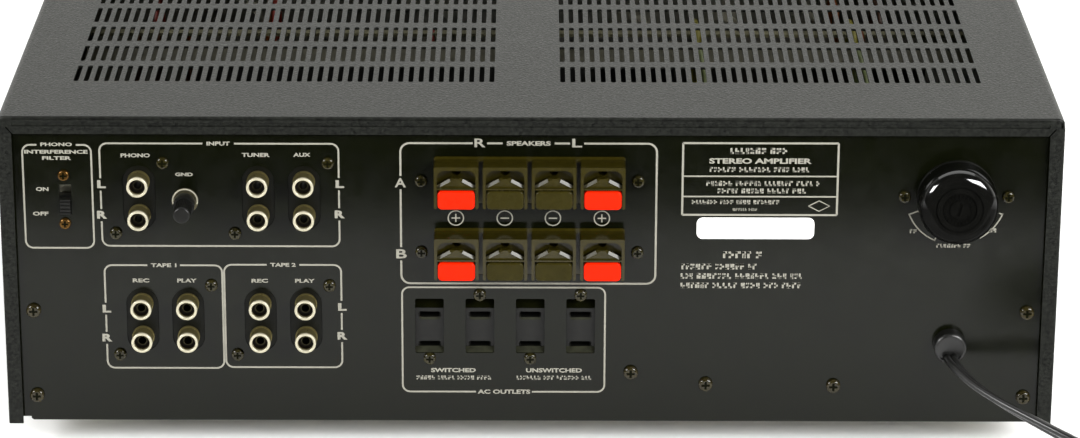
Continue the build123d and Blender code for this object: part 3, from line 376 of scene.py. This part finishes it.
def piece(name, points, faces, finish, body=BODY, smooth=False):
    mesh = bpy.data.meshes.new(name)
    mesh.from_pydata([tuple(p) for p in points], [], faces)
    mesh.update()
    if smooth:
        mesh.polygons.foreach_set("use_smooth", [True] * len(mesh.polygons))
    mesh.materials.append(finish)
    obj = bpy.data.objects.new(name, mesh)
    scene.collection.objects.link(obj)
    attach(obj, body)
    return obj


class Ink:
    """Flat print gathered as polygons in a face's own millimetres, laid on it by place(x, y, out)."""

    def __init__(self, place, lift=0.03, thick=0.03):
        self.place, self.lift, self.thick = place, lift, thick
        self.points, self.faces = [], []

    def polygon(self, corners):
        start = len(self.points)
        self.points += [tuple(c) for c in corners]
        self.faces.append(tuple(range(start, start + len(corners))))

    def bar(self, x, y, width, height):
        a, b = width / 2, height / 2
        self.polygon([(x - a, y - b), (x + a, y - b), (x + a, y + b), (x - a, y + b)])

    def line(self, path, width):
        """A line of even width along a path of points."""
        path = [Vector(p) for p in path]
        sides = []
        for k, p in enumerate(path):
            ahead = (path[min(k + 1, len(path) - 1)] - path[max(k - 1, 0)]).normalized()
            across = Vector((-ahead.y, ahead.x)) * width / 2
            sides.append((p + across, p - across))
        for (a, b), (c, d) in zip(sides, sides[1:]):
            self.polygon([a, b, d, c])

    def arc(self, x, y, r, start, end, width, steps=10):
        angles = [math.radians(start + (end - start) * k / steps) for k in range(steps + 1)]
        self.line([(x + r * math.cos(a), y + r * math.sin(a)) for a in angles], width)

    def box(self, left, right, low, high, r=3.0, width=0.72, gaps=()):
        """A rounded rectangle whose line stops at each gap: a side, the gap's middle and its width."""
        for side, a, b, at in (("bottom", left, right, low), ("top", left, right, high),
                               ("left", low, high, left), ("right", low, high, right)):
            cuts = sorted((c - w / 2, c + w / 2) for s, c, w in gaps if s == side)
            stops = [a + r, *[v for cut in cuts for v in cut], b - r]
            for p, q in zip(stops[::2], stops[1::2]):
                flat = side in ("bottom", "top")
                self.line([(p, at), (q, at)] if flat else [(at, p), (at, q)], width)
        if r:
            for x, y, start in corner_centres(left, right, low, high, r):
                self.arc(x, y, r, start, start + 90, width, 8)

    def word(self, text, x, y, width, height, weight=0.038):
        """A word stretched to a width and a capital height, centred on x, y."""
        curve = bpy.data.curves.new("word", "FONT")
        curve.body, curve.resolution_u, curve.offset = text, 3, weight
        shape = bpy.data.objects.new("word", curve)
        mesh = bpy.data.meshes.new_from_object(shape)
        flat = np.array([v.co[:2] for v in mesh.vertices])
        low, high = flat.min(0), flat.max(0)
        flat = (flat - (low + high) / 2) / (high - low) * (width, height) + (x, y)
        start = len(self.points)
        self.points += [tuple(p) for p in flat]
        self.faces += [tuple(start + i for i in f.vertices) for f in mesh.polygons]
        bpy.data.objects.remove(shape)
        bpy.data.curves.remove(curve)
        bpy.data.meshes.remove(mesh)

    def blocks(self, x, y, width, height, seed):
        """A line of letter-sized marks that stands for small print without spelling anything."""
        dice = np.random.default_rng(seed)
        at, end = x - width / 2, x + width / 2
        left_in_word = dice.integers(3, 8)
        while at < end - 0.5 * height:
            wide, stroke = height * dice.uniform(0.5, 0.8), 0.34 * height
            low = y - height / 2
            self.bar(at + stroke / 2, y, stroke, height)
            self.bar(at + wide / 2, low + height * dice.choice([0.14, 0.5, 0.86]), wide, stroke)
            if dice.random() < 0.6:
                tall = low + height * dice.choice([0.28, 0.72])
                self.bar(at + wide - stroke / 2, tall, stroke, 0.56 * height)
            left_in_word -= 1
            at += wide + 0.22 * height
            if left_in_word == 0:
                at += 0.5 * height
                left_in_word = dice.integers(3, 8)

    def finish(self, name, finish, slot, body=BODY):
        """The print as a piece with a real, very small thickness."""
        base = [self.place(x, y, self.lift) for x, y in self.points]
        obj = piece(name, base, self.faces, finish, body)
        shift = self.place(0, 0, self.thick) - self.place(0, 0, 0)
        mesh = bmesh.new()
        mesh.from_mesh(obj.data)
        bmesh.ops.remove_doubles(mesh, verts=mesh.verts, dist=1e-7)
        lid = bmesh.ops.extrude_face_region(mesh, geom=mesh.faces[:])
        moved = [g for g in lid["geom"] if isinstance(g, bmesh.types.BMVert)]
        bmesh.ops.translate(mesh, verts=moved, vec=shift)
        bmesh.ops.recalc_face_normals(mesh, faces=mesh.faces[:])
        mesh.to_mesh(obj.data)
        mesh.free()
        return obj


SMALL = 1.65  # capital height of the small words
LETTER_WIDTHS = {"L": 3.4, "R": 4.0}  # of the channel letters beside the jacks
CHANNEL_HEIGHT, CHANNEL_WEIGHT = 3.3, 0.05
SPEAKER_WEIGHT = 0.022
GAP = 5.2  # in a frame's line, round a channel letter
MARK_Y, MARK_R, MARK_LINE = 86.6, 3.05, 0.52  # the polarity marks between the speaker terminals
SCALE_R = 19.8  # the voltage selector's scale


def print_rear(finishes):
    """The frames, words and marks on the rear panel."""
    ink = Ink(rear)

    def channel(text, x, y):
        ink.word(text, x, y, LETTER_WIDTHS[text], CHANNEL_HEIGHT, CHANNEL_WEIGHT)

    # Filter switch
    ink.box(-200.5, -173.4, 73.6, 116.8, gaps=[("top", -187, 15.5)])
    ink.word("PHONO", -187, 117, 12.5, 1.5)
    ink.word("INTERFERENCE", -187.2, 113.9, 25.0, 1.6)
    ink.word("FILTER", -187, 111.3, 11.5, 1.5)
    ink.word("ON", -193.2, 98.3, 5.0, SMALL)
    ink.word("OFF", -194.2, 88.0, 6.2, SMALL)
    # Inputs
    left, right = -170.1, -75.9
    ink.box(left, right, 74.5, 117.5, gaps=[
        ("top", -123.2, 12.5), ("left", 100.3, GAP), ("left", 87.4, GAP),
        ("right", 100.7, GAP), ("right", 88.0, GAP)])
    ink.word("INPUT", -123.2, 117.5, 9.2, SMALL)
    ink.word("PHONO", -156, 112.5, 11.6, SMALL)
    ink.word("TUNER", -108.5, 112.8, 11.0, SMALL)
    ink.word("AUX", -90.3, 112.9, 6.8, SMALL)
    ink.word("GND", -137, 104.6, 7.0, 1.5)
    channel("L", left + 0.4, 100.4)
    channel("R", left + 0.2, 87.6)
    channel("L", right + 0.4, 100.7)
    channel("R", right + 0.2, 88.0)
    # Tape loops
    for x0, x1, low, high, number, gaps in (
        (-169.7, -122.9, 22.3, 66.3, 1, [("left", 47.7, GAP), ("left", 35.2, GAP)]),
        (-122.1, -75.5, 22.7, 66.6, 2, [("right", 48.7, GAP), ("right", 36.2, GAP)]),
    ):
        middle = (x0 + x1) / 2 + 0.2
        ink.box(x0, x1, low, high, gaps=[("top", middle, 13.0), *gaps])
        ink.word(f"TAPE {number}", middle, high, 10.2, SMALL)
    for text, wide, places in (("REC", 6.6, (-155.3, -108.0)), ("PLAY", 7.8, (-137.0, -90.0))):
        for x in places:
            ink.word(text, x, 59.8, wide, SMALL)
    channel("L", -169.3, 47.7)
    channel("R", -169.5, 35.3)
    channel("L", -75.2, 48.7)
    channel("R", -75.3, 36.3)
    # Speakers
    ink.box(-51.5, 49.7, 58.9, 117.9, r=3.6, width=0.8, gaps=[
        ("top", -20.1, 5.6), ("top", -0.9, 20.5), ("top", 18.2, 5.6),
        ("left", 101.4, 5.6), ("left", 71.4, 5.6)])
    ink.word("SPEAKERS", -0.9, 117.9, 17.4, 1.9)
    for text, x, y, wide, tall in (("R", -20.1, 118.1, 4.3, 3.6), ("L", 18.2, 118.1, 3.9, 3.6),
                                   ("A", -51.6, 101.4, 4.4, 3.9), ("B", -51.4, 71.4, 4.2, 3.9)):
        ink.word(text, x, y, wide, tall, SPEAKER_WEIGHT)
    for x, plus in ((-29.7, True), (-10.3, False), (8.8, False), (28.2, True)):
        ink.arc(x, MARK_Y, MARK_R, 0, 360, 0.48, 28)
        ink.bar(x, MARK_Y, 3.4, MARK_LINE)
        if plus:
            for side in (1, -1):
                ink.bar(x, MARK_Y + side * 0.98, MARK_LINE, 1.44)
    # Mains outlets
    ink.box(-51.3, 29.8, 12.3, 57.2, gaps=[("bottom", -10.6, 22.5)])
    ink.word("SWITCHED", -30.9, 21.6, 18.0, 1.85)
    ink.word("UNSWITCHED", 9.5, 21.6, 22.5, 1.85)
    ink.word("AC OUTLETS", -10.6, 12.3, 21.2, 1.85)
    # Rating plate: ruled, and only the kind of appliance in words
    middle = 90.6
    ink.box(60.0, 121.3, 88.2, 118.2, r=0, width=0.8)
    ink.bar(middle, 104.4, 60.5, 0.6)
    ink.bar(middle, 95.9, 60.5, 0.6)
    ink.word("STEREO AMPLIFIER", middle, 110.8, 40.5, 2.3)
    ink.line([(110.0, 92.0), (114.2, 94.2), (118.4, 92.0), (114.2, 89.8), (110.0, 92.0)], 0.45)
    # Voltage selector's scale
    x, y = SELECTOR
    ink.arc(x, y, SCALE_R, 201.3, 246, 0.55)
    ink.arc(x, y, SCALE_R, 300, 339, 0.55)
    for angle, near in ((201.3, 15.3), (246, 18.2), (339, 18.4)):
        a = math.radians(angle)
        ends = (near, SCALE_R + 0.3)
        ink.line([(x + r * math.cos(a), y + r * math.sin(a)) for r in ends], 0.55)
    # Small print as meaningless marks: x, y, width, height and seed of each line
    for line in (
        # under the outlets' words
        (-30.8, 18.4, 30.0, 1.7, 1), (9.5, 18.4, 30.0, 1.7, 2),
        # on the rating plate
        (middle, 115.0, 24.0, 2.4, 3), (middle, 107.2, 40.0, 2.0, 4), (91.6, 101.4, 44.5, 2.0, 5),
        (91.6, 98.3, 35.5, 2.0, 6), (82.0, 93.6, 36.5, 1.7, 7), (85.0, 90.5, 10.0, 1.1, 8),
        # notes under the plate
        (84.0, 71.3, 15.0, 2.8, 9), (75.8, 66.3, 31.5, 2.3, 10),
        (84.3, 62.3, 49.0, 2.25, 11), (84.3, 58.3, 49.0, 2.25, 12),
        # round the voltage selector
        (152.1, 81.5, 3.2, 1.7, 14), (183.6, 82.0, 3.2, 1.7, 15), (168.0, 75.4, 13.5, 1.6, 13),
    ):
        ink.blocks(*line)
    ink.finish("rear_print", finishes["print"], "panel_paint")


STICKER = (65.9, 112.5, 78.1, 87.0)  # left, right, low and high
STICKER_R, STICKER_STEPS, STICKER_BACK, STICKER_FACE = 2.4, 8, 0.01, 0.12


def make_sticker(finishes):
    """A blank white label with round corners."""
    rim = []
    for x, y, start in corner_centres(*STICKER, STICKER_R):
        for k in range(STICKER_STEPS + 1):
            a = math.radians(start + 90 * k / STICKER_STEPS)
            rim.append((x + STICKER_R * math.cos(a), y + STICKER_R * math.sin(a)))
    n = len(rim)
    points = [rear(x, y, out) for out in (STICKER_BACK, STICKER_FACE) for x, y in rim]
    faces = [tuple(range(n))[::-1], tuple(range(n, 2 * n))]
    faces += [(k, (k + 1) % n, n + (k + 1) % n, n + k) for k in range(n)]
    piece("blank_label", points, faces, finishes["sticker"])


def middle_of(node):
    """A front control's middle in the fascia's millimetres, and half its width."""
    low, high = (Vector(c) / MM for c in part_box(node))
    return (low.x + high.x) / 2, (low.z + high.z) / 2 - EDGE / MM, (high.x - low.x) / 2


# Each knob's word and the angle its scale covers, and each other control's word and drop below it.
SCALES = {"volume_knob": ("VOLUME", 300), "input_knob": ("INPUT", 120), "bass_knob": ("BASS", 300),
          "treble_knob": ("TREBLE", 300), "balance_knob": ("BALANCE", 300)}
CAPTIONS = {"power_button": ("POWER", 11), "tape_button": ("TAPE", 8.5),
            "loudness_button": ("LOUDNESS", 8.5), "headphone_socket": ("PHONES", 13)}
SCALE_MARKS = 10


def print_front(finishes):
    """Generic words and scales round the front controls."""
    ink = Ink(front)
    for node, (text, sweep) in SCALES.items():
        x, y, r = middle_of(node)
        ink.word(text, x, y - r - 11, 2.4 * len(text), 2.3)
        for k in range(SCALE_MARKS + 1):
            a = math.radians(90 - sweep / 2 + sweep * k / SCALE_MARKS)
            near, far = r + 4.0, r + (7.0 if k % 5 == 0 else 5.8)
            ink.line([(x + q * math.cos(a), y + q * math.sin(a)) for q in (near, far)], 0.5)
    for node, (text, drop) in CAPTIONS.items():
        x, y, _ = middle_of(node)
        ink.word(text, x, y - drop, 2.2 * len(text), 2.1)
    ink.finish("front_print", finishes["fascia_print"], "brushed_fascia")


# --- Mains cord ---------------------------------------------------------------------------------
def nurbs(name, route, steps):
    """A smooth curve along a route in millimetres, with a number of steps per point."""
    curve = bpy.data.curves.new(name, "CURVE")
    curve.dimensions = "3D"
    spline = curve.splines.new("NURBS")
    spline.points.add(len(route) - 1)
    for point, place in zip(spline.points, route):
        point.co = (*[c * MM for c in place], 1)
    spline.order_u, spline.use_endpoint_u, spline.resolution_u = 3, True, steps
    return curve


CORE_R, CORE_X = 1.55 * MM, 1.42 * MM  # each core's radius and distance from the middle
CORE_STEPS = 12
LEAN = math.radians(90)  # the lead lies flat where it leaves the case, and on its edge at LEAN_END
LEAN_END = 0.75  # of the lead
SPLINE_STEPS = 5
COIL_CENTRE = (-285.0, 300.0)
JOIN_ANGLE, LEAVE_ANGLE = 243.0, 90.0  # where the lead joins the coil and the plug's end leaves it
TURN_PITCH = 3.15
COIL_OUTER = 40.0
LAYERS = (3.9, 10.0)  # heights of the coil's lower and upper turns
STEPS_PER_TURN, LOWER_TURNS, CLIMB = 14, 3.0, 0.4
PLUG_HEIGHT = 8.3
LEAD = [  # the CAD tube's route, in millimetres
    (-167.8, 173.0, 45.6),
    (-168.1, 177.4, 45.3),
    (-174.0, 185.6, 40.8),
    (-183.1, 195.2, 36.9),
    (-196.1, 205.9, 33.0),
    (-210.4, 217.2, 28.8),
    (-233.6, 229.0, 20.5),
    (-256.8, 240.8, 12.0),
    (-280.0, 252.6, 6.0),
]


def cord_route():
    """The lead, then about six and a half turns: inwards on the floor, up, and outwards on top."""
    route = list(LEAD)
    turns = 6.0 + (JOIN_ANGLE - LEAVE_ANGLE) / 360.0
    upper_turns = turns - LOWER_TURNS - CLIMB
    inner = COIL_OUTER - TURN_PITCH * LOWER_TURNS
    steps = round(STEPS_PER_TURN * turns)
    for k in range(steps + 1):
        t = turns * k / steps
        if t <= LOWER_TURNS:
            r, z = COIL_OUTER - TURN_PITCH * t, LAYERS[0]
        elif t <= LOWER_TURNS + CLIMB:
            r, z = inner, LAYERS[0] + (t - LOWER_TURNS) / CLIMB * (LAYERS[1] - LAYERS[0])
        else:
            share = (t - LOWER_TURNS - CLIMB) / upper_turns
            r, z = COIL_OUTER - TURN_PITCH * LOWER_TURNS * (1 - share), LAYERS[1]
        a = math.radians(JOIN_ANGLE - 360.0 * t)
        route.append((COIL_CENTRE[0] + r * math.cos(a), COIL_CENTRE[1] + r * math.sin(a), z))
    leave = math.radians(LEAVE_ANGLE)
    heading = Vector((math.sin(leave), -math.cos(leave), 0))
    last = Vector(route[-1])
    route.append(tuple(last + heading * 12 - Vector((0, 0, 1.0))))
    route.append(tuple(last + heading * 24 + Vector((0, 0, PLUG_HEIGHT - last.z))))
    return route


def cord_section():
    """The outline of two round cores side by side."""
    half = 180 - math.degrees(math.acos(CORE_X / CORE_R))
    outline = []
    for side in (1, -1):
        for k in range(CORE_STEPS + 1):
            a = math.radians(-half + 2 * half * k / CORE_STEPS)
            outline.append((side * (CORE_X + CORE_R * math.cos(a)), side * CORE_R * math.sin(a)))
    return outline


def make_cord(finishes):
    """The flat two-core lead as a mesh swept along the line of the route's NURBS spline."""
    curve = nurbs("cord_line", cord_route(), SPLINE_STEPS)
    holder = bpy.data.objects.new("cord_line", curve)
    flat = bpy.data.meshes.new_from_object(holder)
    line = [v.co.copy() for v in flat.vertices]
    bpy.data.objects.remove(holder)
    bpy.data.curves.remove(curve)
    bpy.data.meshes.remove(flat)

    section = cord_section()
    points, count = [], len(section)
    for k, p in enumerate(line):
        ahead = (line[min(k + 1, len(line) - 1)] - line[max(k - 1, 0)]).normalized()
        up = (Vector((0, 0, 1)) - ahead * ahead.z).normalized()
        side = ahead.cross(up)
        lean = LEAN * max(0.0, 1 - k / (LEAN_END * len(LEAD) * SPLINE_STEPS))
        wide = up * math.cos(lean) + side * math.sin(lean)
        thin = side * math.cos(lean) - up * math.sin(lean)
        points += [p + wide * a + thin * b for a, b in section]
    faces = []
    for a in range(0, (len(line) - 1) * count, count):
        for i in range(count):
            j = (i + 1) % count
            faces.append((a + i, a + j, a + count + j, a + count + i))
    end = (len(line) - 1) * count
    faces += [tuple(range(count))[::-1], tuple(range(end, end + count))]
    cord = piece("mains_lead", points, faces, finishes["cord_plastic"], smooth=True)
    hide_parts("mains_cord", "mains_cord_coil")


# --- Screw drives' painted shade and the washer's painted highlight -----------------------------
def socket_screws():
    """The screws that hold the jack plates, terminal blocks, outlets and voltage selector."""
    plates = ((-155.0, 94.7, 9.6), (-98.8, 94.7, 18.6), (-145.9, 43.0, 18.6), (-98.8, 43.0, 18.6))
    spots = [(x + s * reach, y + s * 14.8) for x, y, reach in plates for s in (-1, 1)]
    for base in TERMINAL_BASES:
        spots += [(TERMINAL_CENTRE + s * 42.9, base + 8.3) for s in (-1, 1)]
    spots += [(x, 54.1 if k % 2 else 26.8) for k, x in enumerate(OUTLET_COLUMNS)]
    return spots + [(148.0, 96.1), (189.0, 96.1)]


PANEL_SCREWS = [(s * 198.5, y) for s in (-1, 1) for y in (10.5, 47.0)]
PANEL_SCREWS += [(40.3, 20.8), (70.5, 15.9), (121.9, 15.3)]
SWITCH_SCREWS = [(-184.6, 104.2), (-184.6, 84.0)]
DRIVE_STROKE = 0.27  # a drive's line width, as a share of its size


def shade_screws(finishes):
    """Painted shade in each screw's cross drive, and a painted highlight along the bright upper edge of
    the ground post's washer.
    """
    # Each drive is a flat near-black cross laid on the head: painted shade for the recess.
    for name, spots, size, lift, thick in (
        ("socket_screw_drive_shade", socket_screws(), 2.8, 0.72, 0.8),
        ("panel_screw_drive_shade", PANEL_SCREWS, 3.25, 0.85, 0.95),
        ("switch_screw_drive_shade", SWITCH_SCREWS, 2.6, 0.6, 0.65),
    ):
        ink = Ink(rear, lift, thick)
        stroke = DRIVE_STROKE * size
        arm = (size - stroke) / 2
        for x, y in spots:
            ink.bar(x, y, size, stroke)
            for side in (-1, 1):
                ink.bar(x, y + side * (stroke + arm) / 2, stroke, arm)
        ink.finish(name, finishes["painted_shade_black"], "black_screw")
    # A pale arc over the washer's upper edge: a painted highlight where light falls on it.
    ink = Ink(rear, 0.93, 0.12)
    ink.arc(*GROUND_POST, 4.9, -15, 195, 0.55, 24)
    ink.finish("washer_painted_highlight", finishes["washer_highlight_paint"], "jack_nickel")


# --- Terminal ramps -----------------------------------------------------------------------------
RAMP_NORMALS = ((1, (-0.337, 0.852, 0.400)), (-1, (0.28, 0.868, 0.41)))  # of each side's slope
RAMP_TALL, RAMP_THICK = 1.3, 0.9


def make_ramps(finishes):
    """The polished slopes beside each speaker terminal's opening, which lead a wire to its hole."""
    points, faces = [], []
    for base in TERMINAL_BASES:
        for x in TERMINAL_COLUMNS:
            for side, direction in RAMP_NORMALS:
                normal = Vector(direction).normalized()
                low = rear(x + side * 7.2, base + 8.2, 8.8)
                run = rear(x + side * 2.2, base + 11.1, 8.8) - low
                run.y -= run.dot(normal) / normal.y
                rise = run.cross(normal).normalized() * RAMP_TALL * MM
                rise = rise if rise.z > 0 else -rise
                quad = [low, low + run, low + run + rise, low + rise]
                add_block(points, faces, quad, -normal * RAMP_THICK * MM, flip=side < 0)
    piece("terminal_ramps", points, faces, finishes["terminal_gloss"])


# --- Mains outlets ------------------------------------------------------------------------------
OUTLET_MIDDLE, OUTLET_HALF = 37.95, 5.7
SLOT_OFFSET, SLOT_HALF = 6.35, 4.1  # a blade slot's distance from the middle, and half its width
LIP_SHIFT = Vector((0, -0.3 * MM, 0))


def outlet_strips(name, strips, finish):
    """One piece of thin strips, each from x and half width, low and high ends with their depths."""
    points, faces = [], []
    for x, half, low, low_out, high, high_out in strips:
        quad = (rear(x + half, low, low_out), rear(x - half, low, low_out),
                rear(x - half, high, high_out), rear(x + half, high, high_out))
        add_block(points, faces, quad, LIP_SHIFT)
    piece(name, points, faces, finish)


def make_outlet_shade_and_lit_lips(finishes):
    """A near-black strip sloping into each outlet's top as painted shade, and lighter strips at its
    sill and under its slots as painted light on lips lit from above.
    """
    # The top strips are painted shade; the lip strips are a lighter copy of the outlets' plastic,
    # painted light.
    tops = [(x, OUTLET_HALF, 47.4, -2.6, 52.25, -4.8) for x in OUTLET_COLUMNS]
    lips = [(x, OUTLET_HALF, 29.05, -0.6, 30.9, -2.9) for x in OUTLET_COLUMNS]
    for x in OUTLET_COLUMNS:
        for slot in (OUTLET_MIDDLE - SLOT_OFFSET, OUTLET_MIDDLE + SLOT_OFFSET):
            lips.append((x, SLOT_HALF, slot - 2.1, -2.9, slot - 1.0, -3.0))
    outlet_strips("top_shade_strips", tops, finishes["painted_shade_black"])
    outlet_strips("lit_lip_strips", lips, finishes["lit_lip_plastic"])


# --- Wiring seen through the vents --------------------------------------------------------------
WIRE_D = 2.6
# Finish, plan X, first and last Y, and height of each wire.
WIRES = (
    ("wire_yellow", -73.6, -60, -24, 117), ("wire_green", -74.6, -24, 40, 116),
    ("wire_yellow", -142.6, -60, -22, 117), ("wire_green", -143.6, -22, 40, 116),
    ("wire_orange", -138.5, -118, -78, 112), ("wire_brown", -158.0, -118, -70, 112),
    ("wire_orange", -147.0, -62, -40, 112), ("wire_red", 170.5, -118, -72, 112),
    ("wire_red", 116.5, -118, -76, 112), ("wire_orange", 119.5, -118, -80, 110),
    ("wire_red", 44.5, -66, -42, 112), ("wire_brown", 176.0, -64, -40, 112),
    ("wire_brown", 167.0, -64, -40, 112), ("wire_orange", 153.0, -64, -44, 110),
)
STAYS = {  # low and high corners
    "stay_plate": ((-196.0, -43.0, 108.6), (196.0, -12.0, 110.0), "stay_steel"),
    "stay_lip": ((-196.0, -52.0, 111.0), (196.0, -46.5, 112.4), "stay_lip"),
}


def make_wire(name, route, finish):
    """A round wire along a route in millimetres."""
    curve = nurbs(name, route, 6)
    curve.bevel_depth, curve.bevel_resolution = WIRE_D / 2 * MM, 2
    curve.materials.append(finish)
    obj = bpy.data.objects.new(name, curve)
    scene.collection.objects.link(obj)
    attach(obj, BODY)


def make_wiring(finishes):
    """Loose wires and a stay across the case, as far as they show between the vents."""
    for k, (finish, x, start, end, z) in enumerate(WIRES):
        middle = (start + end) / 2
        route = [(x, start, z - 40), (x, start, z - 6), (x + 0.6, start + 6, z),
                 (x, middle, z + 0.6), (x - 0.6, end - 6, z), (x, end, z - 6), (x, end, z - 34)]
        make_wire(f"wire_{k}", route, finishes[finish])
    for name, (low, high, finish) in STAYS.items():
        base = [Vector((x, y, low[2])) * MM for x, y in (
            (low[0], low[1]), (low[0], high[1]), (high[0], high[1]), (high[0], low[1]))]
        points, faces = [], []
        add_block(points, faces, base, Vector((0, 0, high[2] - low[2])) * MM)
        piece(name, points, faces, finishes[finish])


set_camera()
finishes = make_materials()
set_studio(finishes)
dress_frame(finishes)
print_rear(finishes)
make_sticker(finishes)
print_front(finishes)
shade_screws(finishes)
make_ramps(finishes)
make_outlet_shade_and_lit_lips(finishes)
make_cord(finishes)
make_wiring(finishes)
